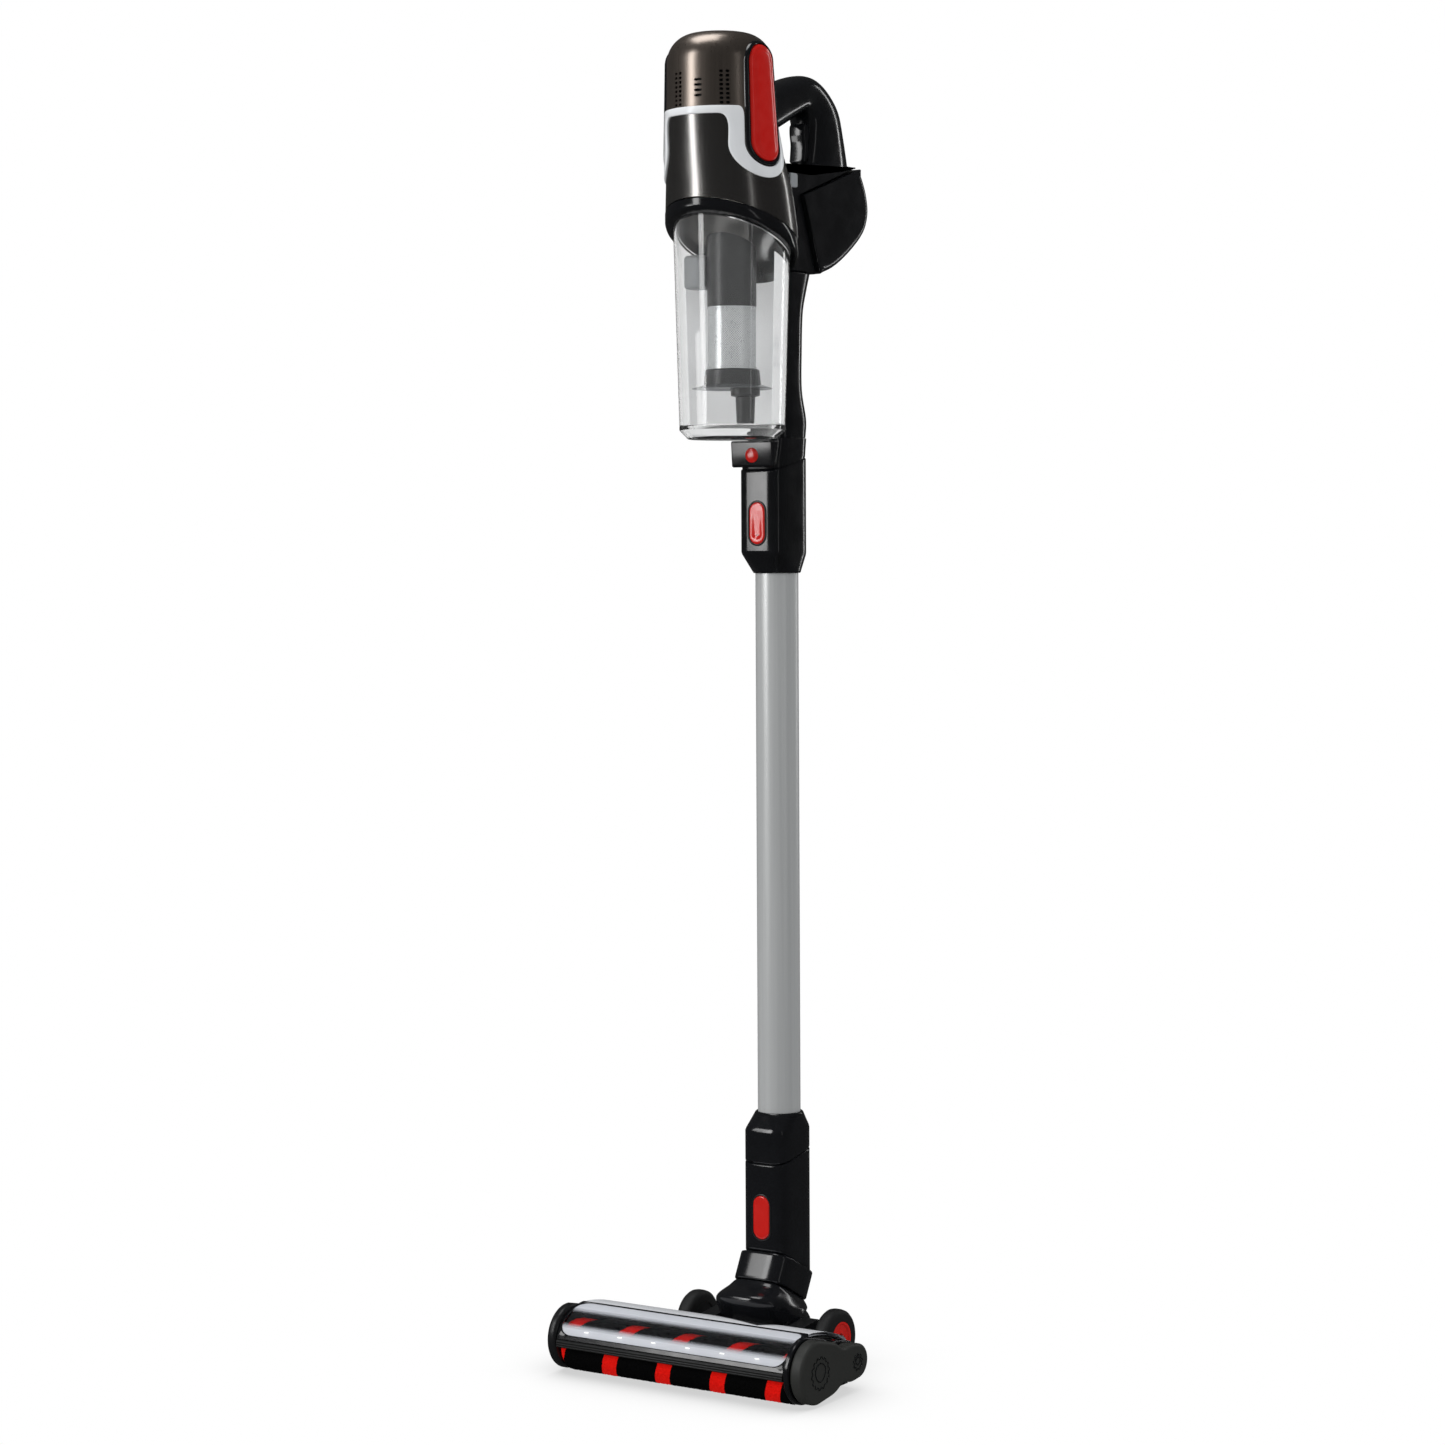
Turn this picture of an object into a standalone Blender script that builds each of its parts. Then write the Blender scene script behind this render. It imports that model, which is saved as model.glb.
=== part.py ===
"""Cordless stick vacuum cleaner, standing upright on its powered floor head.

Frame: metres, +Z up, front is -Y, +X is the belt side of the floor head. The
origin is on the floor under the middle of the bounding box. The lengths below are in
millimetres and MM turns them into metres as each mesh is made.

Bodies: floor head, brush roller, drive pinion, two wheels, pitching elbow,
swivelling connector, lift-off wand, lift-off handheld unit with dust cup,
cup lid, battery, trigger and buttons.
"""

import math

import bmesh
import bpy
from mathutils import Matrix, Vector

MM = 0.001
GAP = 0.3

# Wand line: the tube, its sockets and the neck share one vertical axis.
TUBE_Y = 24.7
TUBE_R = 18.25
TUBE_WALL = 1.4
BORE_R = 17.0
SPIGOT_R = 16.6
CONNECTOR_HALF_X = 21.5
CONNECTOR_HALF_Y = 25.5
WAND_SEAM = (172.2, 0.214)
NECK_SEAM = (760.7, 0.24)
NECK_CENTRE_Y = 20.2

# Floor head.
HEAD_HALF_X = 113.0
ROLLER_Y = -119.0
ROLLER_R = 22.0
ROLLER_Z = ROLLER_R
CORE_R = 15.0
AXLE_Y = 1.4
WHEEL_R = 25.0
WHEEL_X = (62.7, 76.7)
HUB_R = 12.5
PINION_Y = -62.0
PINION_Z = 25.0
PINION_R = 5.5
PULLEY_R = 11.0

# Swivel: a rounded-square collar on an axis that leans back from the vertical.
SWIVEL_TILT = math.radians(27.0)
COLLAR_CENTRE = (15.0, 68.5)
COLLAR_HALF = (26.0, 29.0)
COLLAR_THICK = 25.0

# Dust cup and the body above it.
CUP_Y = -41.8
CUP_TOP_R = 48.3
CUP_BOTTOM_R = 44.1
CUP_WALL = 2.2
CUP_BOTTOM_Z = 790.9
CUP_TOP_Z = 940.5
CUP_TOP_SLOPE = -0.45
RIM_TOP_Z = 953.0
RIM_TOP_SLOPE = -0.40
RIM_R = 55.0
BODY_WALL = 2.5
SEAM_Z = 1041.5
BODY_TOP_Z = 1111.0
SHOULDER_R = 24.0
BODY_TOP_Y = -58.3
BODY_TOP_R = 43.5

# Long side buttons, one on each side of the motor housing.
SIDE_Y = -60.7
SIDE_Z = 1051.5
SIDE_REACH = (20.0, 80.0)
BEZEL_SIZE = (37.2, 101.6)
BUTTON_HOLE = (31.4, 95.8)
BUTTON_SIZE = (30.6, 95.0)
BEZEL_SKIN = (0.3, 2.2)
BUTTON_SKIN = (-1.0, 3.0)
TRIM_SKIN = (0.3, 1.6)

# Handle and battery.
HANDLE_HALF_X = 17.0
BATTERY_HALF_X = 21.0
MODE_CENTRE = (108.0, 1066.8)

OBJECT_NAME = "stick_vacuum"
SIDES = (("left", -1), ("right", 1))

PALETTE = {
    "gloss_black": ("#111315", 0.12, 0.0),
    "satin_black": ("#17181a", 0.38, 0.0),
    "gunmetal": ("#3a3a3a", 0.22, 0.7),
    "white": ("#e8e8e8", 0.25, 0.0),
    "red": ("#d4221c", 0.2, 0.0),
    "clear": ("#dfe5e8", 0.05, 0.0),
    "frosted": ("#d5d8dc", 0.3, 0.0),
    "silver": ("#d0d0d2", 0.3, 0.2),
    "aluminium": ("#c9cbca", 0.32, 1.0),
    "dark_grey": ("#4a4b49", 0.5, 0.0),
    "mid_grey": ("#8d9092", 0.4, 0.0),
    "mesh_steel": ("#b9bcbe", 0.35, 1.0),
    "steel": ("#a5a8aa", 0.3, 1.0),
    "plush": ("#101011", 0.95, 0.0),
    "tyre": ("#1c1d1d", 0.75, 0.0),
    "rubber": ("#161616", 0.8, 0.0),
    "filter": ("#e9e6dd", 0.9, 0.0),
    "board": ("#1d4a34", 0.5, 0.0),
}


def clear_scene():
    for old in list(bpy.data.objects):
        bpy.data.objects.remove(old, do_unlink=True)


def linear(channel):
    """One sRGB channel, 0 to 1, as linear light."""
    if channel <= 0.04045:
        return channel / 12.92
    return ((channel + 0.055) / 1.055) ** 2.4


def make_materials():
    made = {}
    for name, (code, roughness, metallic) in PALETTE.items():
        material = bpy.data.materials.new(name)
        material.use_nodes = True
        shader = material.node_tree.nodes["Principled BSDF"]
        colour = [linear(int(code[i : i + 2], 16) / 255) for i in (1, 3, 5)]
        shader.inputs["Base Color"].default_value = (*colour, 1.0)
        shader.inputs["Roughness"].default_value = roughness
        shader.inputs["Metallic"].default_value = metallic
        if name in ("clear", "frosted"):
            shader.inputs["Alpha"].default_value = 0.35
        made[name] = material
    return made


def make_collection(name):
    collection = bpy.data.collections.new(name)
    bpy.context.scene.collection.children.link(collection)
    return collection


clear_scene()
MATERIALS = make_materials()
PARTS = make_collection(OBJECT_NAME)
CUTTERS = make_collection("cutters")


def joint(name, position, tilt=0.0, parent=None):
    """An empty on a joint's axis; tilt leans its Z axis back about X."""
    empty = bpy.data.objects.new(name, None)
    empty.empty_display_size = 0.02
    PARTS.objects.link(empty)
    empty.location = Vector(position) * MM
    empty.rotation_euler.x = -tilt
    hang(empty, parent)
    return empty


def hang(child, parent):
    """Parents child to an empty and leaves it where it stands."""
    if parent is None:
        return
    bpy.context.view_layer.update()
    child.parent = parent
    child.matrix_parent_inverse = parent.matrix_world.inverted()


def new_object(name, build, material=None, parent=None):
    """An object from a bmesh in millimetres; without a material it is a cutter."""
    bmesh.ops.recalc_face_normals(build, faces=build.faces)
    bmesh.ops.scale(build, vec=(MM, MM, MM), verts=build.verts)
    mesh = bpy.data.meshes.new(name)
    build.to_mesh(mesh)
    build.free()
    made = bpy.data.objects.new(name, mesh)
    if material is None:
        CUTTERS.objects.link(made)
        made.hide_render = True
        made.display_type = "WIRE"
        return made
    PARTS.objects.link(made)
    mesh.materials.append(MATERIALS[material])
    mesh.shade_smooth()
    mesh.set_sharp_from_angle(angle=math.radians(32))
    hang(made, parent)
    return made


def box(name, low, high, material=None, parent=None):
    """A box between two corners."""
    build = bmesh.new()
    bmesh.ops.create_cube(build, size=1.0)
    size = Vector(high) - Vector(low)
    middle = (Vector(high) + Vector(low)) / 2
    bmesh.ops.scale(build, vec=size, verts=build.verts)
    bmesh.ops.translate(build, vec=middle, verts=build.verts)
    return new_object(name, build, material, parent)


def boxes(name, corner_pairs):
    """One cutter made of several boxes that don't touch."""
    build = bmesh.new()
    for low, high in corner_pairs:
        size = Vector(high) - Vector(low)
        middle = (Vector(high) + Vector(low)) / 2
        place = Matrix.Translation(middle) @ Matrix.Diagonal((*size, 1.0))
        bmesh.ops.create_cube(build, size=1.0, matrix=place)
    return new_object(name, build)


def cylinder(name, axis, centre, radius, span, material=None, parent=None, sides=32):
    """A cylinder along 'X', 'Y' or 'Z'; centre is its place across that axis."""
    turn = {
        "X": Matrix.Rotation(math.pi / 2, 4, "Y"),
        "Y": Matrix.Rotation(-math.pi / 2, 4, "X"),
        "Z": Matrix.Identity(4),
    }[axis]
    place = list(centre)
    place.insert("XYZ".index(axis), (span[0] + span[1]) / 2)
    build = bmesh.new()
    bmesh.ops.create_cone(
        build,
        cap_ends=True,
        segments=sides,
        radius1=radius,
        radius2=radius,
        depth=span[1] - span[0],
        matrix=Matrix.Translation(place) @ turn,
    )
    return new_object(name, build, material, parent)


def turned(name, profile, centre, material, parent=None, lie_along_x=False, steps=32):
    """A profile of (radius, height) points, turned about Z and moved to centre.

    The profile starts at its top and runs down its outer side. With
    lie_along_x the heights become places along X.
    """
    mesh = bpy.data.meshes.new(name)
    points = [(radius * MM, 0.0, height * MM) for radius, height in profile]
    edges = [(i, i + 1) for i in range(len(points) - 1)]
    if profile[0][0] > 0:
        edges.append((len(points) - 1, 0))
    mesh.from_pydata(points, edges, [])
    made = bpy.data.objects.new(name, mesh)
    PARTS.objects.link(made)
    screw = made.modifiers.new("Turn", "SCREW")
    screw.steps = steps
    screw.render_steps = steps
    screw.use_merge_vertices = True
    screw.merge_threshold = 0.00001
    screw.use_smooth_shade = True
    mesh.materials.append(MATERIALS[material])
    made.location = Vector(centre) * MM
    if lie_along_x:
        made.rotation_euler.y = math.pi / 2
    hang(made, parent)
    return made


def plate(name, outline, span, material=None, parent=None, bevel=0.0, segments=2):
    """A flat outline of (y, z) points, extruded along X over span."""
    curve = bpy.data.curves.new(name, "CURVE")
    curve.dimensions = "2D"
    curve.fill_mode = "BOTH"
    curve.extrude = (span[1] - span[0]) / 2 * MM
    spline = curve.splines.new("POLY")
    spline.points.add(len(outline) - 1)
    for point, (y, z) in zip(spline.points, outline):
        point.co = (y * MM, z * MM, 0.0, 1.0)
    spline.use_cyclic_u = True
    drawn = bpy.data.objects.new(name, curve)
    CUTTERS.objects.link(drawn)
    drawn.location.x = (span[0] + span[1]) / 2 * MM
    drawn.rotation_euler = (math.pi / 2, 0.0, math.pi / 2)
    bpy.context.view_layer.update()
    graph = bpy.context.evaluated_depsgraph_get()
    mesh = bpy.data.meshes.new_from_object(drawn.evaluated_get(graph))
    build = bmesh.new()
    build.from_mesh(mesh)
    bmesh.ops.remove_doubles(build, verts=build.verts, dist=0.00001)
    bmesh.ops.dissolve_limit(
        build, angle_limit=0.001, verts=build.verts, edges=build.edges
    )
    bmesh.ops.transform(build, matrix=drawn.matrix_world, verts=build.verts)
    bmesh.ops.scale(build, vec=(1 / MM, 1 / MM, 1 / MM), verts=build.verts)
    bpy.data.objects.remove(drawn)
    bpy.data.meshes.remove(mesh)
    made = new_object(name, build, material, parent)
    if bevel:
        soften(made, bevel, segments)
    return made


def soften(made, width, segments=2):
    """Rounds the sharp edges of an object."""
    bevel = made.modifiers.new("Soften", "BEVEL")
    bevel.width = width * MM
    bevel.segments = segments
    bevel.limit_method = "ANGLE"
    bevel.angle_limit = math.radians(40)


def ring(centre_y, z, half_x, half_y, power=2.0, slope=0.0, count=32):
    """A superellipse about (0, centre_y) whose height changes by slope with y."""
    points = []
    for step in range(count):
        angle = 2 * math.pi * step / count
        cosine = math.cos(angle)
        sine = math.sin(angle)
        x = half_x * math.copysign(abs(cosine) ** (2 / power), cosine)
        y = half_y * math.copysign(abs(sine) ** (2 / power), sine)
        points.append(Vector((x, centre_y + y, z + slope * y)))
    return points


def round_ring(centre_y, z, radius, slope=0.0, count=32, bore_y=None):
    """A circle seen from above, lying on a plane that slopes about centre_y."""
    middle = centre_y if bore_y is None else bore_y
    rise = slope * (middle - centre_y)
    return ring(middle, z + rise, radius, radius, 2.0, slope, count)


def loft(name, rings, material=None, parent=None, closed=False):
    """Skins a row of rings. Closed joins last to first; otherwise both ends are capped."""
    build = bmesh.new()
    rows = [[build.verts.new(point) for point in points] for points in rings]
    pairs = list(zip(rows, rows[1:]))
    if closed:
        pairs.append((rows[-1], rows[0]))
    else:
        build.faces.new(rows[0])
        build.faces.new(rows[-1])
    for below, above in pairs:
        for i in range(len(below)):
            j = (i + 1) % len(below)
            build.faces.new((below[i], below[j], above[j], above[i]))
    return new_object(name, build, material, parent)


def boolean(made, cutter, operation="DIFFERENCE"):
    """Cuts with a helper object, or joins or crosses it."""
    modifier = made.modifiers.new(operation.title(), "BOOLEAN")
    modifier.operation = operation
    modifier.solver = "EXACT"
    modifier.object = cutter
    return modifier


def apply_modifiers(made):
    """Replaces an object's mesh with its evaluated one."""
    bpy.context.view_layer.update()
    graph = bpy.context.evaluated_depsgraph_get()
    mesh = bpy.data.meshes.new_from_object(made.evaluated_get(graph))
    made.modifiers.clear()
    made.data = mesh


def arc(centre, radius, start, end, count):
    """Points on a circle in the (y, z) plane, angles in degrees."""
    points = []
    for step in range(count + 1):
        angle = math.radians(start + (end - start) * step / count)
        y = centre[0] + radius * math.cos(angle)
        z = centre[1] + radius * math.sin(angle)
        points.append((y, z))
    return points


def stadium(centre, width, height, count=8):
    """An upright slot outline with half-round ends."""
    radius = width / 2
    rise = height / 2 - radius
    top = arc((centre[0], centre[1] + rise), radius, 0, 180, count)
    bottom = arc((centre[0], centre[1] - rise), radius, 180, 360, count)
    return top + bottom


def belt_outline(first, first_r, second, second_r, count=12):
    """The taut outline around two circles, the first to the front of the second."""
    run = second[0] - first[0]
    rise = second[1] - first[1]
    reach = math.hypot(run, rise)
    lean = math.degrees(math.atan2(rise, run))
    spread = math.degrees(math.acos((first_r - second_r) / reach))
    front = arc(first, first_r, lean + spread, lean + 360 - spread, count)
    rear = arc(second, second_r, lean - spread, lean + spread, count // 2)
    return front + rear


# --- Floor head ---------------------------------------------------------------


def head_base():
    """The tray: roller arch, floor and rear wall in one thin section."""
    roller = (ROLLER_Y, ROLLER_Z)
    outline = arc(roller, 24.5, -55, 65, 10)
    outline += [(-100.5, 51.2), (-97.0, 51.0)]
    outline += arc(roller, 27.5, 42, -30, 6)
    outline += [(-90.0, 5.5), (-49.5, 6.0), (-49.5, 37.0)]
    outline += [(-47.0, 37.0), (-47.0, 3.0), (-100.0, 2.2)]
    plate("head_base", outline, (-HEAD_HALF_X, HEAD_HALF_X), "satin_black")


def head_top_deck():
    """The sloping deck between the window and the rear edge."""
    slope = math.radians(-15.2)
    half = HEAD_HALF_X - GAP
    outline = [(half, 0), (half, 52), (46, 52), (30, 58), (-30, 58), (-46, 52)]
    outline += [(-half, 52), (-half, 0)]
    build = bmesh.new()
    build.faces.new([build.verts.new((x, y, 0.0)) for x, y in outline])
    lifted = bmesh.ops.extrude_face_region(build, geom=build.faces[:])
    raised = [v for v in lifted["geom"] if isinstance(v, bmesh.types.BMVert)]
    bmesh.ops.translate(build, vec=(0, 0, 2.4), verts=raised)
    place = Matrix.Translation((0, -98.7, 51.9)) @ Matrix.Rotation(slope, 4, "X")
    bmesh.ops.transform(build, matrix=place, verts=build.verts)
    new_object("head_top_deck", build, "silver")


def window_curve(inset):
    """The window's section, a quarter ellipse over the roller."""
    points = []
    for step in range(9):
        angle = math.radians(171 - 78 * step / 8)
        y = -104.0 + (40.5 - inset) * math.cos(angle)
        z = 26.0 + (29.0 - inset) * math.sin(angle)
        points.append((y, z))
    return points


def roller_window():
    outline = window_curve(0.0) + list(reversed(window_curve(2.2)))
    plate("roller_window", outline, (-HEAD_HALF_X + GAP, HEAD_HALF_X - GAP), "frosted")


def front_bumper():
    """A soft strip with a shallow lengthwise groove."""
    outline = [(-142.0, 23.6), (-145.6, 23.6), (-146.3, 24.6), (-145.7, 26.6)]
    outline += [(-146.2, 28.4), (-145.2, 30.0), (-142.2, 30.0)]
    plate("front_bumper", outline, (-HEAD_HALF_X + GAP, HEAD_HALF_X - GAP), "rubber")


def cap_outline(inset):
    front = (ROLLER_Y, 28.2)
    return belt_outline(front, 27.2 - inset, (-57.5, 25.5), 15.5 - inset)


def end_caps():
    """The left cap, the right frame and the belt cover outside it."""
    start = HEAD_HALF_X + GAP
    left = plate("left_end_cap", cap_outline(0), (-start - 9, -start), "satin_black")
    bearing = cylinder(
        "left_bearing_cut", "X", (ROLLER_Y, ROLLER_Z), 5.0, (-start - 4, 0)
    )
    boolean(left, bearing)
    right = plate("right_end_cap", cap_outline(0), (start, start + 5), "satin_black")
    for name, place, radius in (
        ("right_bearing_cut", (ROLLER_Y, ROLLER_Z), 5.0),
        ("pinion_shaft_cut", (PINION_Y, PINION_Z), 3.0),
    ):
        boolean(right, cylinder(name, "X", place, radius, (start - 5, start + 10)))
    cover_x = (start + 5 + GAP, start + 18)
    cover = plate("belt_cover", cap_outline(1.2), cover_x, "dark_grey")
    pocket = plate("belt_pocket", cap_outline(3.4), (start, start + 16))
    boolean(cover, pocket)


def belt_drive():
    """Motor along X in the tray, with the belt loop in the right cover."""
    start = HEAD_HALF_X + 6.5
    cylinder("roller_motor", "X", (PINION_Y - 7, PINION_Z - 4), 12.0, (30, 108), "steel")
    pulley = (ROLLER_Y, ROLLER_Z)
    pinion = (PINION_Y, PINION_Z)
    outer = belt_outline(pulley, PULLEY_R + 1.8, pinion, PINION_R + 1.8)
    belt = plate("drive_belt", outer, (start, start + 6), "rubber")
    inner = belt_outline(pulley, PULLEY_R + 0.4, pinion, PINION_R + 0.4)
    boolean(belt, plate("belt_inside", inner, (start - 2, start + 8)))


def light_board():
    low = (-100.0, -139.0, 33.8)
    high = (100.0, -138.1, 36.2)
    box("light_board", low, high, "board")


def brackets():
    """Two arms that reach back to the pitch axis and carry the wheels."""
    for side, sign in SIDES:
        outline = [(-46.7, 33.0), (-46.7, 9.0)]
        outline += arc((AXLE_Y, WHEEL_R), 14.0, -95, 80, 10)
        span = sorted((sign * 36.5, sign * 52.0))
        made = plate(f"{side}_bracket", outline, span, "satin_black")
        cut_span = sorted((sign * 30.0, sign * 60.0))
        name = f"{side}_bracket_bore"
        boolean(made, cylinder(name, "X", (AXLE_Y, WHEEL_R), 6.6, cut_span))
        profile = [(0.0, 78.0), (3.5, 78.0), (3.5, 52.6), (6.0, 52.6), (6.0, 44.4)]
        profile.append((0.0, 44.4))
        if side == "left":
            profile = [(radius, -height) for radius, height in reversed(profile)]
        name = f"{side}_axle"
        turned(name, profile, (0, AXLE_Y, WHEEL_R), "steel", None, True, 24)


def brush_roller():
    """The core, the plush sleeve and the pulley turn together."""
    spin = joint("roller_joint", (0, ROLLER_Y, ROLLER_Z))
    inside = HEAD_HALF_X - 1
    profile = [(0.0, 124.0), (4.0, 124.0), (4.0, inside), (CORE_R, inside)]
    profile += [(CORE_R, -inside), (4.0, -inside), (4.0, -116.5), (0.0, -116.5)]
    turned("roller_core", profile, (0, ROLLER_Y, ROLLER_Z), "rubber", spin, True, 24)
    face = HEAD_HALF_X - 1.5
    bore = CORE_R + 0.3
    profile = [(bore, face), (ROLLER_R, face), (ROLLER_R, -face), (bore, -face)]
    turned("roller_sleeve", profile, (0, ROLLER_Y, ROLLER_Z), "plush", spin, True, 48)
    profile = [(4.3, 126.0), (PULLEY_R, 126.0), (PULLEY_R, 119.3), (4.3, 119.3)]
    turned("roller_pulley", profile, (0, ROLLER_Y, ROLLER_Z), "steel", spin, True, 24)


def drive_pinion():
    spin = joint("pinion_joint", (0, PINION_Y, PINION_Z))
    profile = [(0.0, 126.0), (PINION_R, 126.0), (PINION_R, 119.3), (2.5, 119.3)]
    profile += [(2.5, 109.0), (0.0, 109.0)]
    turned("drive_pinion", profile, (0, PINION_Y, PINION_Z), "steel", spin, True, 24)


def wheels():
    low, high = WHEEL_X
    rim = 3.0
    for side, sign in SIDES:
        spin = joint(f"{side}_wheel_joint", (sign * 70, AXLE_Y, WHEEL_R))
        profile = [(3.8, high), (HUB_R, high), (HUB_R, low), (3.8, low)]
        tread = [(HUB_R + 0.3, high), (WHEEL_R - rim, high), (WHEEL_R, high - rim)]
        tread += [(WHEEL_R, low + rim), (WHEEL_R - rim, low), (HUB_R + 0.3, low)]
        for name, section, material, steps in (
            ("hub", profile, "red", 32),
            ("tyre", tread, "tyre", 48),
        ):
            if side == "left":
                section = [(radius, -place) for radius, place in reversed(section)]
            centre = (0, AXLE_Y, WHEEL_R)
            turned(f"{side}_{name}", section, centre, material, spin, True, steps)


# --- Neck of the floor head ---------------------------------------------------


def collar_plane(offset):
    """Centre (y, z) of the plane across the swivel axis, offset along it."""
    y = COLLAR_CENTRE[0] + offset * math.sin(SWIVEL_TILT)
    z = COLLAR_CENTRE[1] + offset * math.cos(SWIVEL_TILT)
    return y, z


def tilted_square(offset, shrink, count=32):
    """The collar's rounded-square section across the swivel axis."""
    y, z = collar_plane(offset)
    half_x, half_y = COLLAR_HALF
    points = ring(0.0, 0.0, half_x - shrink, half_y - shrink, 4.0, 0.0, count)
    lean = Matrix.Rotation(-SWIVEL_TILT, 3, "X")
    return [lean @ point + Vector((0.0, y, z)) for point in points]


def elbow(pitch):
    """A drum on the pitch axis with a rounded belly that rises to the collar."""
    half = COLLAR_THICK / 2
    rings = [
        tilted_square(-half - GAP, 1.2),
        tilted_square(-half - 3, -0.4),
        ring(-6.0, 48.0, 34.6, 34.0, 2.6, -0.30),
        ring(-4.0, 40.0, 34.6, 32.0, 2.8, -0.15),
        ring(0.5, 28.0, 33.5, 21.0, 3.0),
    ]
    drum = loft("elbow", rings, "gloss_black", pitch)
    centre = (AXLE_Y, WHEEL_R)
    boolean(drum, cylinder("elbow_drum", "X", centre, 21.5, (-34, 34)), "UNION")
    boolean(drum, cylinder("elbow_pins", "X", centre, 6.0, (-44, 44)), "UNION")


def swivel_collar(swivel):
    half = COLLAR_THICK / 2
    rings = [
        tilted_square(-half, 1.5),
        tilted_square(-half + 1.5, 0.0),
        tilted_square(half - 1.5, 0.0),
        tilted_square(half, 1.5),
    ]
    loft("swivel_collar", rings, "gloss_black", swivel)


def connector_ring(z, slope=0.0, shrink=0.0, centre=TUBE_Y - 3):
    """The connectors' rounded-square section."""
    half_x = CONNECTOR_HALF_X - shrink
    half_y = CONNECTOR_HALF_Y - shrink
    return ring(centre, z, half_x, half_y, 4.0, slope)


def bore_ring(z, radius, slope=0.0, centre=TUBE_Y - 3):
    """A circle on the wand's axis, lying in the connector's sloping end."""
    return round_ring(centre, z, radius, slope, 32, TUBE_Y)


def head_connector(swivel):
    """The neck of the floor head: the wand's spigot drops into its bore."""
    slope = -math.tan(SWIVEL_TILT)
    top_slope = WAND_SEAM[1]
    y, z = collar_plane(COLLAR_THICK / 2)
    low = z + GAP + slope * (TUBE_Y - 3 - y)
    rings = [
        connector_ring(low, slope, 1.0),
        connector_ring(low + 1.2, slope),
        connector_ring(WAND_SEAM[0] - GAP, top_slope),
        bore_ring(WAND_SEAM[0] - GAP, BORE_R, top_slope),
        bore_ring(122.0, BORE_R),
        bore_ring(121.0, 14.5),
        bore_ring(low, 14.5, slope),
    ]
    made = loft("head_connector", rings, "gloss_black", swivel, closed=True)
    front = TUBE_Y - 3 - CONNECTOR_HALF_Y
    recess_button(made, "head_button", 121.0, front, (17.0, 38.0), swivel)


def recess_button(made, name, z, front, size, parent):
    """Cuts an upright slot in a connector's front and puts a button in it."""
    width, height = size
    slot = stadium_block(f"{name}_slot", z, (front - 4, front + 6.2), width, height)
    boolean(made, slot)
    press = joint(f"{name}_joint", (0, front, z), parent=parent)
    depth = (front - 0.9, front + 3.8)
    stadium_block(name, z, depth, width - 0.8, height - 0.8, "red", press)


def stadium_block(name, z, depth, width, height, material=None, parent=None):
    """An upright stadium in the XZ plane, deep along Y."""
    build = bmesh.new()
    outline = stadium((0.0, z), width, height)
    near = [build.verts.new((x, depth[0], up)) for x, up in outline]
    far = [build.verts.new((x, depth[1], up)) for x, up in outline]
    build.faces.new(near)
    build.faces.new(far)
    for i in range(len(near)):
        j = (i + 1) % len(near)
        build.faces.new((near[i], near[j], far[j], far[i]))
    return new_object(name, build, material, parent)


# --- Wand ---------------------------------------------------------------------


def wand(lift):
    seam, slope = WAND_SEAM
    rings = [
        bore_ring(130.0, SPIGOT_R),
        bore_ring(seam, SPIGOT_R, slope),
        connector_ring(seam, slope),
        connector_ring(195.0),
        bore_ring(209.0, 20.3),
        bore_ring(209.0, TUBE_R + GAP),
        bore_ring(195.5, TUBE_R + GAP),
        bore_ring(194.5, 14.5),
        bore_ring(130.0, 14.5),
    ]
    loft("wand_lower_socket", rings, "gloss_black", lift, closed=True)
    inside = TUBE_R - TUBE_WALL
    rings = [
        bore_ring(196.0, TUBE_R),
        bore_ring(700.5, TUBE_R),
        bore_ring(700.5, inside),
        bore_ring(196.0, inside),
    ]
    loft("wand_tube", rings, "aluminium", lift, closed=True)
    seam, slope = NECK_SEAM
    centre = NECK_CENTRE_Y
    rings = [
        bore_ring(668.0, 20.0),
        connector_ring(685.0, centre=centre),
        connector_ring(seam, slope, 0.0, centre),
        bore_ring(seam, BORE_R, slope, centre),
        bore_ring(705.7, BORE_R),
        bore_ring(704.7, 15.5),
        bore_ring(702.2, 15.5),
        bore_ring(701.2, TUBE_R + GAP),
        bore_ring(668.0, TUBE_R + GAP),
    ]
    upper = loft("wand_upper_socket", rings, "gloss_black", lift, closed=True)
    front = centre - CONNECTOR_HALF_Y
    recess_button(upper, "wand_button", 710.0, front, (16.0, 36.0), lift)


# --- Handheld unit ------------------------------------------------------------


def body_sections(offset):
    """The body's rings from the slanted rim up to the seam, grown by offset."""
    return [
        round_ring(CUP_Y, RIM_TOP_Z + 0.3, RIM_R + offset, RIM_TOP_SLOPE),
        round_ring(-45.5, 989.0, 52.0 + offset, -0.12),
        round_ring(-52.0, 1015.0, 48.0 + offset),
        round_ring(-57.2, SEAM_Z - 0.15, 44.7 + offset),
    ]


def housing_sections(offset, steps=5):
    """The body's rings from the seam up and over the rounded shoulder."""
    rings = [
        round_ring(-57.2, SEAM_Z + 0.15, 44.7 + offset),
        round_ring(-58.0, 1064.0, 43.7 + offset),
    ]
    for step in range(steps + 1):
        angle = math.pi / 2 * step / steps
        radius = BODY_TOP_R - SHOULDER_R + (SHOULDER_R + offset) * math.cos(angle)
        z = BODY_TOP_Z - SHOULDER_R + (SHOULDER_R + offset) * math.sin(angle)
        rings.append(round_ring(BODY_TOP_Y, z, radius))
    return rings


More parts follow.
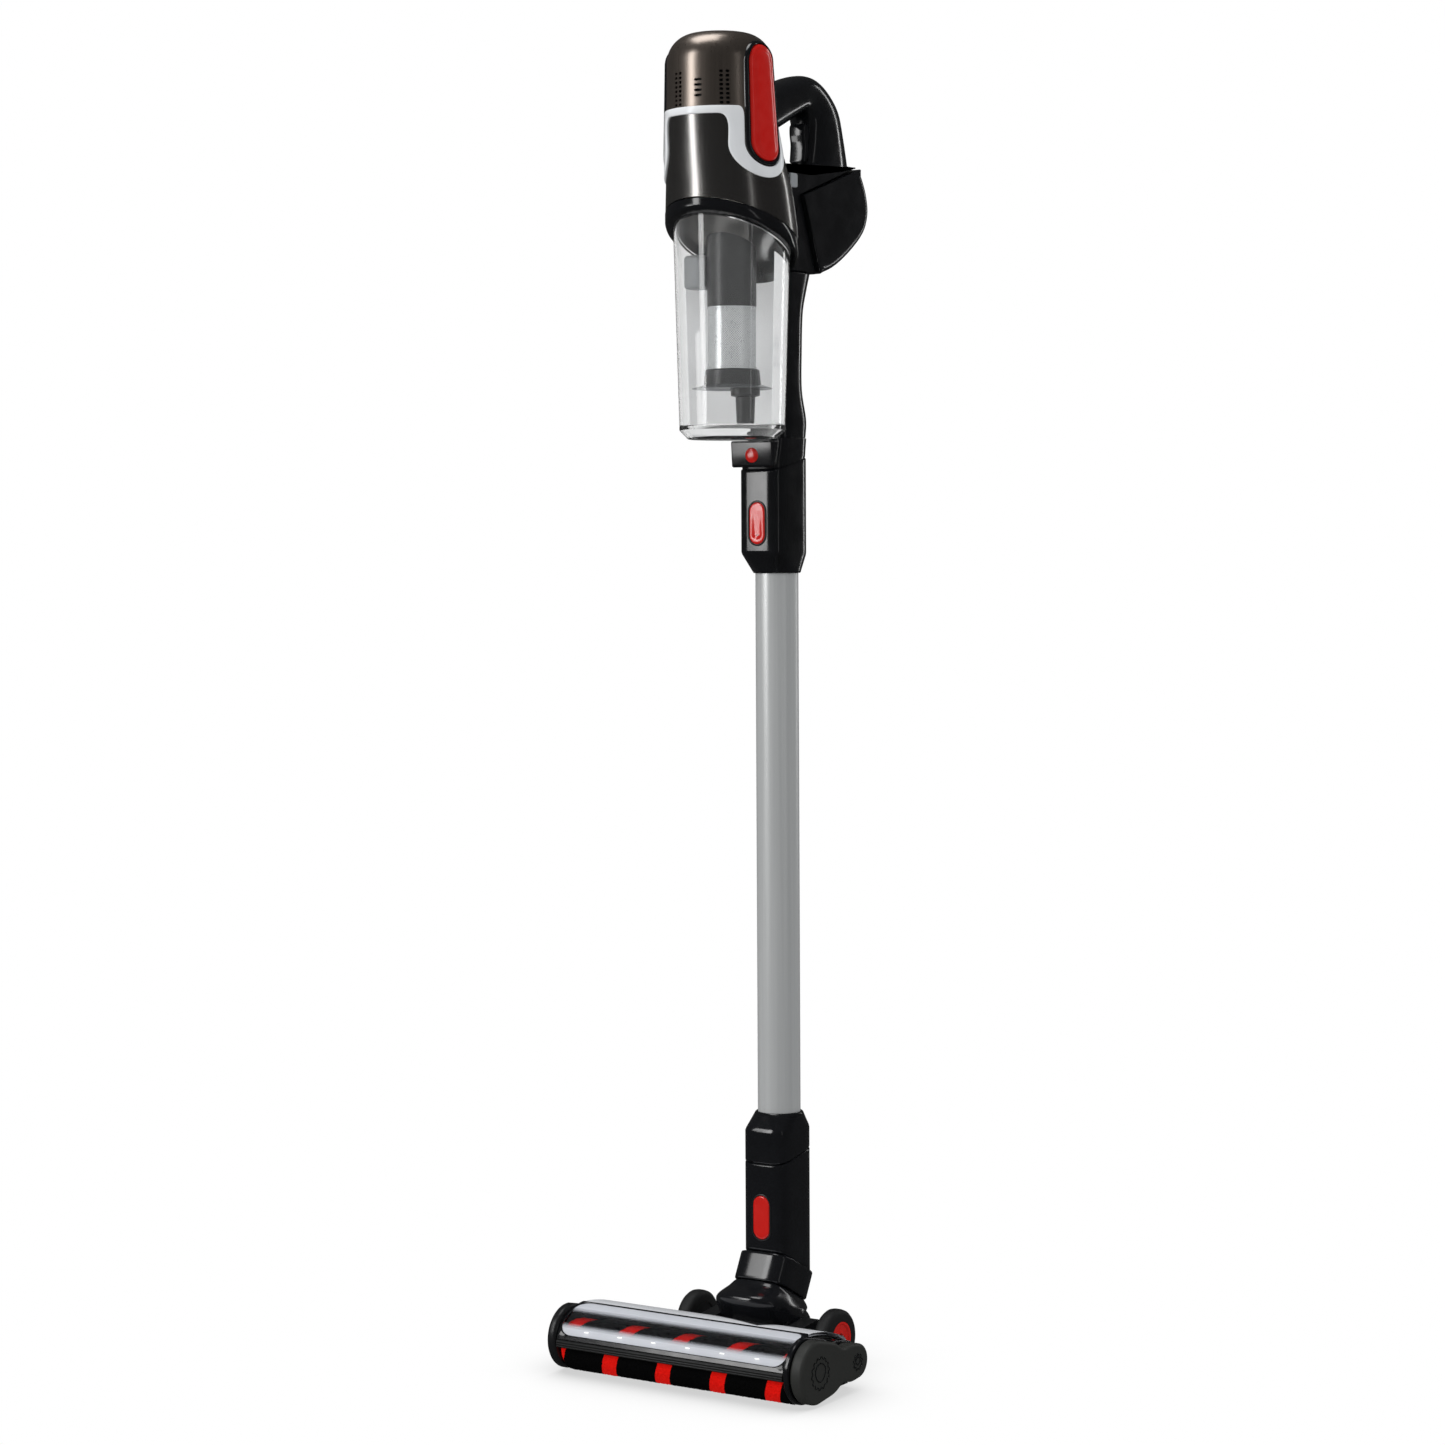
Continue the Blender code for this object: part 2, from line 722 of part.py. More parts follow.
def skin(name, offsets, material=None, parent=None):
    """A thin wall that follows the body between two offsets."""
    near, far = offsets
    inside = body_sections(near) + housing_sections(near)[1:-1]
    outside = body_sections(far) + housing_sections(far)[1:-1]
    rings = outside + list(reversed(inside))
    return loft(name, rings, material, parent, closed=True)


def side_prism(name, size, sign):
    """A stadium prism through one side of the body, as a cutter."""
    reach = sorted((sign * SIDE_REACH[0], sign * SIDE_REACH[1]))
    return plate(name, stadium((SIDE_Y, SIDE_Z), *size), reach)


def vent_boxes():
    """Front grille: four short slots between two fields of small dots."""
    pairs = []
    for row in range(4):
        z = 1056.3 + 4.25 * row
        pairs.append(((4.3, -112.0, z - 1.0), (10.9, -95.0, z + 1.0)))
    for column, front in ((-15.3, -98.0), (-9.9, -99.0), (25.1, -92.0), (29.7, -88.0)):
        for row in range(8):
            z = 1050.0 + 3.6 * row
            low = (column - 1.3, front - 8.0, z - 0.8)
            pairs.append((low, (column + 1.3, front + 5.0, z + 0.8)))
    return pairs


def motor_housing():
    outside = housing_sections(0.0)
    inside = housing_sections(-BODY_WALL)
    made = loft("motor_housing", list(reversed(inside)) + outside, "gunmetal")
    for side, sign in SIDES:
        boolean(made, side_prism(f"{side}_housing_hole", BUTTON_HOLE, sign))
    boolean(made, boxes("vent_slots", vent_boxes()))


def lower_shell():
    outside = body_sections(0.0)
    inside = body_sections(-BODY_WALL)
    rings = outside + list(reversed(inside))
    made = loft("lower_shell", rings, "gunmetal", closed=True)
    for side, sign in SIDES:
        boolean(made, side_prism(f"{side}_shell_hole", BUTTON_HOLE, sign))


def rim():
    """The black ring that slants down to the rear and seats the cup."""
    rings = [
        round_ring(CUP_Y, CUP_TOP_Z + 0.5, RIM_R - 2.0, CUP_TOP_SLOPE),
        round_ring(CUP_Y, CUP_TOP_Z + 3.5, RIM_R, CUP_TOP_SLOPE),
        round_ring(CUP_Y, RIM_TOP_Z, RIM_R, RIM_TOP_SLOPE),
        round_ring(CUP_Y, RIM_TOP_Z, RIM_R - 4.0, RIM_TOP_SLOPE),
        round_ring(CUP_Y, CUP_TOP_Z + 0.5, CUP_TOP_R - 2.3, CUP_TOP_SLOPE),
    ]
    loft("rim", rings, "satin_black", closed=True)


def trim_outline():
    """The U around one side button: a wide front arm and a thin rear arm."""
    inner_r = BEZEL_SIZE[0] / 2 + 1.0
    outer_r = 27.7
    middle = SIDE_Y - 1.6
    arm_top = 1047.3
    outline = [(middle - outer_r, arm_top)]
    outline += arc((middle, 1018.2), outer_r, 180, 360, 14)
    outline += [(middle + outer_r, 1076.0), (SIDE_Y + inner_r, 1076.0)]
    outline += arc((SIDE_Y, 1019.0), inner_r, 360, 180, 12)
    outline += [(SIDE_Y - inner_r, arm_top)]
    return outline


def white_trim():
    """A thin skin on the body: an arch across the front and a U at each side."""
    stencil = plate("trim_stencil", trim_outline(), (-70, 70))
    band = box("trim_band", (-50, -115, 1041.8), (50, -88.0, 1047.3))
    boolean(stencil, band, "UNION")
    apply_modifiers(stencil)
    made = skin("white_trim", TRIM_SKIN, "white")
    boolean(made, stencil, "INTERSECT")


def side_buttons():
    """On each side a bezel that follows the body, and the long button in it."""
    for side, sign in SIDES:
        bezel = skin(f"{side}_bezel", BEZEL_SKIN, "gloss_black")
        boolean(bezel, side_prism(f"{side}_bezel_edge", BEZEL_SIZE, sign), "INTERSECT")
        boolean(bezel, side_prism(f"{side}_bezel_hole", BUTTON_HOLE, sign))
        press = joint(f"{side}_button_joint", (sign * BODY_TOP_R, SIDE_Y, SIDE_Z))
        button = skin(f"{side}_side_button", BUTTON_SKIN, "red", press)
        boolean(button, side_prism(f"{side}_button_edge", BUTTON_SIZE, sign), "INTERSECT")


def suction_unit():
    """Filter, fan motor and impeller inside the body."""
    profile = [(0.0, 1060.0), (22.0, 1060.0), (29.0, 1054.0), (29.0, 1000.0)]
    profile.append((0.0, 1000.0))
    turned("fan_motor", profile, (0, -56, 0), "steel", None, False, 24)
    profile = [(0.0, 984.0), (37.0, 984.0), (37.0, 974.0), (0.0, 974.0)]
    turned("filter_disc", profile, (0, -46, 0), "filter", None, False, 24)
    spin = joint("impeller_joint", (0, -56, 992))
    profile = [(0.0, 999.4), (8.0, 999.4), (10.0, 992.0), (27.0, 989.0)]
    profile += [(27.0, 986.0), (0.0, 986.0)]
    turned("impeller", profile, (0, -56, 0), "mid_grey", spin, False, 24)


def spine_duct():
    """The hollow duct behind the cup, flared at its foot and at its top."""
    sections = [
        (782.0, 7.9, 49.2, 19.5),
        (798.0, 7.7, 49.7, 20.0),
        (823.0, 7.7, 46.7, 17.2),
        (887.0, 7.7, 49.0, 17.0),
        (905.0, 7.7, 54.7, 17.0),
        (920.8, 7.7, 62.0, 17.0),
    ]
    outside = []
    inside = []
    for z, front, rear, half_x in sections:
        middle = (front + rear) / 2
        half_y = (rear - front) / 2
        outside.append(ring(middle, z, half_x, half_y, 4.0))
        inside.append(ring(middle, z, half_x - BODY_WALL, half_y - BODY_WALL, 4.0))
    rings = outside + list(reversed(inside))
    made = loft("spine_duct", rings, "gloss_black", closed=True)
    boolean(made, body_cutter("spine_clearance"))


def neck():
    """The foot of the spine, with the spigot that drops into the wand."""
    seam, slope = NECK_SEAM
    seam += 0.4
    centre = NECK_CENTRE_Y
    half_y = CONNECTOR_HALF_Y - 0.6
    rings = [
        bore_ring(713.0, SPIGOT_R),
        bore_ring(seam, SPIGOT_R, slope, centre),
        ring(centre + 0.5, seam, CONNECTOR_HALF_X, half_y, 4.0, slope),
        ring(26.0, 781.6, 19.5, 23.2, 4.0),
        ring(28.6, 781.6, 16.8, 18.0, 4.0),
        bore_ring(seam, 14.5, slope, centre),
        bore_ring(713.0, 14.5),
    ]
    loft("neck", rings, "gloss_black", closed=True)


def body_cutter(name):
    """The body and rim grown by the gap, to fit other pieces against them."""
    rings = [
        round_ring(CUP_Y, 913.0, RIM_R + 0.5),
        round_ring(CUP_Y, CUP_TOP_Z, RIM_R + 0.5, CUP_TOP_SLOPE),
    ]
    rings += body_sections(0.5) + housing_sections(0.5)[1:]
    return loft(name, rings)


def handle_frame():
    """Bridge, grip and lower body in one C that closes on the motor housing."""
    outline = [(-30, 1062), (7, 1074), (27, 1082), (43, 1087), (61, 1090)]
    outline += [(76, 1088), (89, 1082), (104, 1073), (113.5, 1061), (120, 1041)]
    outline += [(124.5, 1027), (127.5, 1017.5), (36.5, 987), (62, 921.2)]
    outline += [(-30, 921.2), (-30, 1011), (56, 1011), (63, 1016), (65.5, 1050)]
    outline += [(62, 1058), (56, 1058), (8, 1036), (-30, 1018)]
    half = HANDLE_HALF_X
    made = plate("handle_frame", outline, (-half, half), "gloss_black", None, 6.0, 3)
    boolean(made, body_cutter("handle_clearance"))
    recesses = [
        ((-8.6, 55.0, 1015.6), (8.6, 76.5, 1050.4)),
        ((half - 3.2, 19.7, 991.7), (half + 5, 31.3, 1004.3)),
        ((-half - 5, 19.7, 991.7), (3.2 - half, 31.3, 1004.3)),
    ]
    boolean(made, boxes("handle_recesses", recesses))
    boolean(made, mode_block("mode_recess", 7.4, 6.4, (-4.3, 10.0)))


def mode_block(name, half_x, half_along, depth, material=None, parent=None):
    """A block square to the handle's sloping top rear corner."""
    turn = Matrix.Rotation(-math.atan2(12.0, 9.5), 4, "X")
    build = bmesh.new()
    bmesh.ops.create_cube(build, size=1.0)
    size = (2 * half_x, 2 * half_along, depth[1] - depth[0])
    bmesh.ops.scale(build, vec=size, verts=build.verts)
    lift = (depth[0] + depth[1]) / 2
    bmesh.ops.translate(build, vec=(0, 0, lift), verts=build.verts)
    place = Matrix.Translation((0, *MODE_CENTRE)) @ turn
    bmesh.ops.transform(build, matrix=place, verts=build.verts)
    return new_object(name, build, material, parent)


def handle_controls():
    """Trigger, mode button and the two battery catches."""
    pull = joint("trigger_joint", (0, 64, 1033))
    low = (-8.2, 57.5, 1016.0)
    trigger = box("trigger", low, (8.2, 71.5, 1050.0), "gloss_black", pull)
    soften(trigger, 4.0, 3)
    press = joint("mode_joint", (0, *MODE_CENTRE))
    mode = mode_block("mode_button", 7.0, 6.0, (-2.3, 1.4), "satin_black", press)
    soften(mode, 0.8, 2)
    for side, sign in SIDES:
        press = joint(f"{side}_catch_joint", (sign * HANDLE_HALF_X, 25.5, 998.0))
        inner = sign * (HANDLE_HALF_X - 1.5)
        outer = sign * (HANDLE_HALF_X + 1.8)
        low = (min(inner, outer), 20.0, 992.0)
        high = (max(inner, outer), 31.0, 1004.0)
        catch = box(f"{side}_battery_catch", low, high, "mid_grey", press)
        soften(catch, 1.0, 2)


def battery_pack():
    """The pack under the grip; it draws out square to its sloping seam."""
    slide = joint("battery_joint", (0, 100, 985))
    outline = [(128.0, 1017.0), (134.5, 1006.0), (141.5, 994.5), (144.5, 979.0)]
    outline += [(136.0, 959.5), (117.0, 944.5), (91.0, 929.0), (68.0, 921.5)]
    outline += [(62.8, 922.5), (37.6, 986.3)]
    half = BATTERY_HALF_X
    plate("battery_pack", outline, (-half, half), "gloss_black", slide, 5.0, 3)


# --- Dust cup -----------------------------------------------------------------


def dust_cup(slide):
    """The clear tapered wall, open at both ends."""
    top = CUP_TOP_Z
    slope = CUP_TOP_SLOPE
    low = CUP_BOTTOM_Z
    rings = [
        round_ring(CUP_Y, low, CUP_BOTTOM_R),
        round_ring(CUP_Y, top, CUP_TOP_R, slope),
        round_ring(CUP_Y, top, CUP_TOP_R - CUP_WALL, slope),
        round_ring(CUP_Y, low, CUP_BOTTOM_R - CUP_WALL),
    ]
    loft("dust_cup", rings, "clear", slide, closed=True)


def cyclone(slide):
    """Shroud, mesh cylinder, skirt and stem on the cup's axis, and the inlet."""
    radius = 20.4
    rings = [
        round_ring(CUP_Y, 889.0, radius),
        round_ring(CUP_Y, CUP_TOP_Z, radius, CUP_TOP_SLOPE),
        round_ring(CUP_Y, CUP_TOP_Z, radius - 2, CUP_TOP_SLOPE),
        round_ring(CUP_Y, 889.0, radius - 2),
    ]
    loft("cyclone_shroud", rings, "satin_black", slide, closed=True)
    profile = [(radius - 1.4, 888.7), (radius, 888.7), (radius, 837.4)]
    profile.append((radius - 1.4, 837.4))
    turned("mesh_cylinder", profile, (0, CUP_Y, 0), "mesh_steel", slide)
    profile = [(0.0, 837.1), (22.5, 837.1), (24.0, 822.6), (8.5, 818.5)]
    profile += [(7.0, 792.5), (0.0, 792.5)]
    turned("cyclone_stem", profile, (0, CUP_Y, 0), "satin_black", slide)
    low = (-39.0, -58.0, 904.0)
    inlet = box("inlet_duct", low, (-20.8, -36.0, 932.0), "mid_grey", slide)
    soften(inlet, 3.0, 2)


def cup_lid(swing):
    """The bevelled clear bottom, a shallow dish."""
    low = CUP_BOTTOM_Z - 0.4
    rings = [
        round_ring(CUP_Y, 782.5, 34.5),
        round_ring(CUP_Y, 787.5, CUP_BOTTOM_R - 4.4),
        round_ring(CUP_Y, low, CUP_BOTTOM_R - 2.4),
        round_ring(CUP_Y, low, CUP_BOTTOM_R),
        round_ring(CUP_Y, 787.0, CUP_BOTTOM_R),
        round_ring(CUP_Y, 779.5, 36.6),
    ]
    loft("cup_lid", rings, "clear", swing)


def lid_catch(swing):
    """The catch under the lid's rear edge, with a round release button."""
    outline = [(-14.0, 779.1), (-12.4, 757.2), (-9.6, 756.8), (-6.3, 765.0)]
    outline += [(-4.0, 773.0), (-3.2, 779.1)]
    made = plate("lid_catch", outline, (-21, 21), "gloss_black", swing, 1.2, 2)
    centre = (0, 767.0)
    boolean(made, cylinder("round_button_bore", "Y", centre, 6.8, (-30, -9.4)))
    press = joint("round_button_joint", (0, -14, 767.0), parent=swing)
    cylinder("round_button", "Y", centre, 6.4, (-14.2, -11.0), "red", press)


# --- Assembly -----------------------------------------------------------------


def build_floor_head():
    head_base()
    head_top_deck()
    roller_window()
    front_bumper()
    end_caps()
    belt_drive()
    light_board()
    brackets()
    brush_roller()
    drive_pinion()
    wheels()


def build_neck_and_wand():
    pitch = joint("pitch_joint", (0, AXLE_Y, WHEEL_R))
    elbow(pitch)
    y, z = collar_plane(0.0)
    swivel = joint("swivel_joint", (0, y, z), SWIVEL_TILT, pitch)
    swivel_collar(swivel)
    head_connector(swivel)
    wand(joint("wand_joint", (0, TUBE_Y, WAND_SEAM[0])))


def build_handheld():
    motor_housing()
    lower_shell()
    rim()
    white_trim()
    side_buttons()
    suction_unit()
    spine_duct()
    neck()
    handle_frame()
    handle_controls()
    battery_pack()
    slide = joint("cup_joint", (0, CUP_Y, CUP_TOP_Z))
    dust_cup(slide)
    cyclone(slide)
    swing = joint("lid_joint", (0, -87.3, 798.0), parent=slide)
    cup_lid(swing)
    lid_catch(swing)


build_floor_head()
build_neck_and_wand()
build_handheld()
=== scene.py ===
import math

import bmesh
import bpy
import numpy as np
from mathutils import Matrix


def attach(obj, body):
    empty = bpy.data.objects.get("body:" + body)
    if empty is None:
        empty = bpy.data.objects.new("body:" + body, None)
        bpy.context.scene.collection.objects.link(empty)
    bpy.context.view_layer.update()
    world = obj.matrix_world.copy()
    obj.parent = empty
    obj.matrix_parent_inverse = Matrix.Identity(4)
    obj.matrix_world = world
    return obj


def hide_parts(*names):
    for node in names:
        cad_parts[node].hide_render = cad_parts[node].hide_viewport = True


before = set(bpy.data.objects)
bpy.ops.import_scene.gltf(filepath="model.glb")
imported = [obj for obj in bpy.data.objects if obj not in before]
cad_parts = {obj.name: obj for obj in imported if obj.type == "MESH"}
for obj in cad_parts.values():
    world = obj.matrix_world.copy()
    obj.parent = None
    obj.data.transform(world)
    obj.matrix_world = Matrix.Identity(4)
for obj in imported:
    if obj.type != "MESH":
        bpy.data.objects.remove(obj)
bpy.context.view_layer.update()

# %% [markdown]
# # A cordless stick vacuum, surface by surface
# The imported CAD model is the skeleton: it gives every place and every joint.
# This script dresses it. Each visible moulding is a smooth surface worked out
# with numpy, because a lathe-like or lofted plastic part is a function of two
# parameters, and every finish is a small procedural material.

MM = 0.001

# %% [markdown]
# ## Camera and studio
# A long lens from the front right, a little above the middle and dipped
# slightly, keeps the upright wand nearly straight. The background is white paper.

# %% Camera
CAMERA_SPOT = (1.582, -2.403, 0.688)
CAMERA_BEARING = math.radians(34.0)
CAMERA_DIP = math.radians(2.9)
CAMERA_ROLL = math.radians(0.30)
camera_data = bpy.data.cameras.new("camera")
camera_data.lens = 85.0
camera_data.sensor_width = 36.0
camera = bpy.data.objects.new("camera", camera_data)
bpy.context.scene.collection.objects.link(camera)
camera.location = CAMERA_SPOT
camera.rotation_euler = (math.pi / 2 - CAMERA_DIP, CAMERA_ROLL, CAMERA_BEARING)
bpy.context.scene.camera = camera
bpy.context.scene.view_settings.view_transform = "Standard"
print("camera stands at", CAMERA_SPOT)

# %% [markdown]
# ## How a material is written
# Colours are given as the sRGB hex values a maker would put on a drawing, and
# one function turns them to linear light. One function adds a node with its
# settings and links. Pattern scales are in cycles per metre, from millimetres.


# %% Colour and node helpers
def srgb(code):
    """An sRGB hex value as linear light: the lower part is a line, the rest a 2.4 power."""
    channel = np.array([int(code[i : i + 2], 16) for i in (1, 3, 5)]) / 255
    low = channel / 12.92
    high = ((channel + 0.055) / 1.055) ** 2.4
    return (*np.where(channel <= 0.04045, low, high), 1.0)


def add(tree, kind, inputs=(), **settings):
    """Adds a node, sets its properties, and fills or links its inputs."""
    node = tree.nodes.new(kind)
    for key, value in settings.items():
        setattr(node, key, value)
    for socket, source in dict(inputs).items():
        if isinstance(source, bpy.types.NodeSocket):
            tree.links.new(source, node.inputs[socket])
        else:
            node.inputs[socket].default_value = source
    return node


def per_metre(millimetres):
    """A noise scale whose grain repeats about every so many millimetres."""
    return 1000.0 / millimetres


def finish(name, colour, other, rough, grain, relief, stretch=(1, 1, 1), **sockets):
    """A finish whose colour and roughness drift between two values with a noise.

    grain is the size of the noise in millimetres, and relief the depth of its
    bump in millimetres; stretch scales the noise along each axis.
    """
    made = bpy.data.materials.new(name)
    made.use_nodes = True
    tree = made.node_tree
    shader = tree.nodes["Principled BSDF"]
    place = add(tree, "ShaderNodeTexCoord").outputs["Object"]
    turn = add(tree, "ShaderNodeMapping", {"Vector": place, "Scale": stretch})
    noise = add(
        tree,
        "ShaderNodeTexNoise",
        {"Vector": turn.outputs[0], "Scale": per_metre(grain), "Detail": 4.0},
    )
    mix = add(
        tree,
        "ShaderNodeMix",
        {0: noise.outputs[0], 6: srgb(colour), 7: srgb(other)},
        data_type="RGBA",
    )
    spread = add(
        tree,
        "ShaderNodeMapRange",
        {0: noise.outputs[0], 1: 0.3, 2: 0.7, 3: rough[0], 4: rough[1]},
    )
    bump = add(
        tree,
        "ShaderNodeBump",
        {"Height": noise.outputs[0], "Distance": relief * MM, "Strength": 1.0},
    )
    tree.links.new(mix.outputs[2], shader.inputs["Base Color"])
    tree.links.new(spread.outputs[0], shader.inputs["Roughness"])
    tree.links.new(bump.outputs[0], shader.inputs["Normal"])
    for socket, value in sockets.items():
        shader.inputs[socket.replace("_", " ")].default_value = value
    return made


# %% [markdown]
# ## The finishes
# High-gloss ABS has an almost invisible ripple, the orange peel of a polished
# mould. Metallic lacquer is a dark metal with a fine flake. Anodised tube is
# drawn, so its grain runs along it. Rubber and textured ABS are plainly rough.

# %% Plastics, lacquers and metals
MATERIAL = {
    # polished mould: sharp dark reflections with a faint ripple
    "gloss_black": finish(
        "gloss_black_abs",
        "#101113",
        "#191a1d",
        (0.11, 0.18),
        14,
        0.006,
        Coat_Weight=0.1,
        Coat_Roughness=0.08,
    ),
    # vapour-blasted mould: a soft, wide highlight
    "satin_black": finish("satin_black_abs", "#141517", "#1b1c1e", (0.30, 0.42), 1.2, 0.006),
    # flake lacquer under clear coat: dark brown-grey that flashes pale
    "housing": finish(
        "gunmetal_lacquer_dark",
        "#857b73",
        "#958a81",
        (0.27, 0.32),
        1.5,
        0.0008,
        (1, 1, 0.02),
        Metallic=0.9,
        Coat_Weight=0.15,
        Coat_Roughness=0.12,
    ),
    "gunmetal": finish(
        "gunmetal_lacquer_bright",
        "#7c7b79",
        "#898785",
        (0.20, 0.25),
        1.5,
        0.0006,
        (1, 1, 0.02),
        Metallic=0.95,
        Coat_Weight=0.3,
        Coat_Roughness=0.06,
    ),
    # white glossy ABS trim
    "white": finish("gloss_white_abs", "#eceeef", "#f4f5f6", (0.16, 0.24), 9, 0.006),
    # through-coloured red ABS, slightly deep looking
    "red": finish(
        "gloss_red_abs",
        "#cc1610",
        "#d82018",
        (0.14, 0.22),
        8,
        0.004,
        Coat_Weight=0.3,
        Coat_Roughness=0.08,
    ),
    # light silver mould-in-colour deck
    "silver": finish("silver_abs", "#e6e7ea", "#f1f2f4", (0.18, 0.28), 1.0, 0.002),
    # drawn and anodised tube: fine lines along Z, soft pale reflections
    "aluminium": finish(
        "anodised_aluminium_tube",
        "#cfd1d0",
        "#dcdddc",
        (0.30, 0.38),
        1.6,
        0.001,
        (1, 1, 0.01),
        Metallic=0.35,
    ),
    # spark-eroded mould texture, matt dark grey
    "dark_grey": finish("textured_grey_abs", "#2c2d2b", "#363733", (0.45, 0.6), 0.9, 0.02),
    "mid_grey": finish("grey_abs", "#8f9294", "#a0a3a5", (0.3, 0.4), 1.5, 0.006),
    "steel": finish(
        "turned_steel", "#a3a6a8", "#b8babc", (0.22, 0.32), 1.0, 0.003, (12, 1, 1), Metallic=1.0
    ),
    # moulded rubber with a dusty bloom
    "tyre": finish("tyre_rubber", "#161717", "#222323", (0.5, 0.7), 2.5, 0.02),
    "rubber": finish("bumper_rubber", "#121313", "#1c1d1d", (0.42, 0.6), 2.0, 0.015),
    "filter": finish("filter_paper", "#ddd9cc", "#efece3", (0.8, 0.95), 2.0, 0.1),
    "board": finish("board_solder_mask", "#123a28", "#1d4a34", (0.35, 0.5), 3.0, 0.01),
    "motor": finish("motor_can", "#7d8082", "#8f9294", (0.3, 0.4), 2.0, 0.004, Metallic=0.8),
    # lamp lenses behind the window: bright and slightly warm
    "lamp": finish(
        "lamp_lens",
        "#f7f6f1",
        "#ffffff",
        (0.2, 0.3),
        2.0,
        0.004,
        Emission_Color=srgb("#fffdf6"),
        Emission_Strength=0.5,
    ),
}
print(len(MATERIAL), "plain finishes")


# %% [markdown]
# ## Clear and frosted polycarbonate
# The dust cup is water-clear, so what the eye reads is its edges, its glints
# and what stands inside. The window over the roller is tinted milky: it lets
# the stripes through softly, so it scatters as well as transmits.


# %% Clear plastics
def see_through(name, colour, other, rough, passes, ior, **sockets):
    """A finish that lets light through, weighted by passes from 0 to 1."""
    return finish(
        name, colour, other, rough, 20, 0.004, Transmission_Weight=passes, IOR=ior, **sockets
    )


MATERIAL["clear"] = see_through(
    "clear_polycarbonate", "#f0f1f1", "#f6f6f6", (0.02, 0.04), 0.985, 1.38
)
# smoked polycarbonate for the skirt's flange: grey, but the light behind it still shows
MATERIAL["smoke"] = see_through(
    "smoked_polycarbonate", "#8d9092", "#a1a4a6", (0.05, 0.10), 0.6, 1.2
)
# a hazed rear to the cup: pale and cloudy, so the dark body behind it is veiled; its emission is
# painted light that makes it glow and brightens the cup
MATERIAL["haze_with_painted_glow"] = see_through(
    "hazy_polycarbonate_painted_glow",
    "#f4f5f6",
    "#fafafa",
    (0.30, 0.40),
    0.12,
    1.3,
    Emission_Color=(1, 1, 1, 1),
    Emission_Strength=0.2,
)
WINDOW_Y, WINDOW_Z = -104.0, 26.0
WINDOW_REACH, WINDOW_RISE = 40.5, 29.0
# degrees round the window: milky outside the first and last, clear between the middle two
BAND = (110.0, 123.0, 142.0, 154.0)


def banded_window():
    """Milky plastic with a clear band: the angle round the window's ellipse sets which."""
    made = see_through("milky_polycarbonate", "#d2d4da", "#dddfe4", (0.10, 0.18), 0.78, 1.2)
    tree = made.node_tree
    shader = tree.nodes["Principled BSDF"]
    place = add(tree, "ShaderNodeTexCoord").outputs["Object"]
    squash = (1, 1 / (WINDOW_REACH * MM), 1 / (WINDOW_RISE * MM))
    shift = (0, -WINDOW_Y / WINDOW_REACH, -WINDOW_Z / WINDOW_RISE)
    unit = add(tree, "ShaderNodeMapping", {"Vector": place, "Scale": squash, "Location": shift})
    parts = add(tree, "ShaderNodeSeparateXYZ", {0: unit.outputs[0]})
    angle = add(
        tree, "ShaderNodeMath", {0: parts.outputs[2], 1: parts.outputs[1]}, operation="ARCTAN2"
    )
    low, full, still, gone = (math.radians(turn) for turn in BAND)
    rise = add(
        tree,
        "ShaderNodeMapRange",
        {0: angle.outputs[0], 1: low, 2: full},
        interpolation_type="SMOOTHSTEP",
    )
    fall = add(
        tree,
        "ShaderNodeMapRange",
        {0: angle.outputs[0], 1: gone, 2: still},
        interpolation_type="SMOOTHSTEP",
    )
    band = add(
        tree, "ShaderNodeMath", {0: rise.outputs[0], 1: fall.outputs[0]}, operation="MULTIPLY"
    )
    passes = add(tree, "ShaderNodeMapRange", {0: band.outputs[0], 3: 0.16, 4: 1.0})
    rough = add(tree, "ShaderNodeMapRange", {0: band.outputs[0], 3: 0.30, 4: 0.03})
    tree.links.new(passes.outputs[0], shader.inputs["Transmission Weight"])
    tree.links.new(rough.outputs[0], shader.inputs["Roughness"])
    return made


MATERIAL["frosted"] = banded_window()

# %% [markdown]
# ## Perforated steel and plush
# The cyclone's screen is steel sheet with rows of round holes; the real holes
# are about 0.5 mm, too fine to show, so they are drawn at 2 mm pitch. The
# roller's plush is black with a red stripe that winds round it: a point is red
# where its distance along the axis, less its share of a turn, falls in a stripe.


# %% Screen material
CUP_Y = -41.8
HOLES_ROUND, HOLE_PITCH = 64.0, 2.0


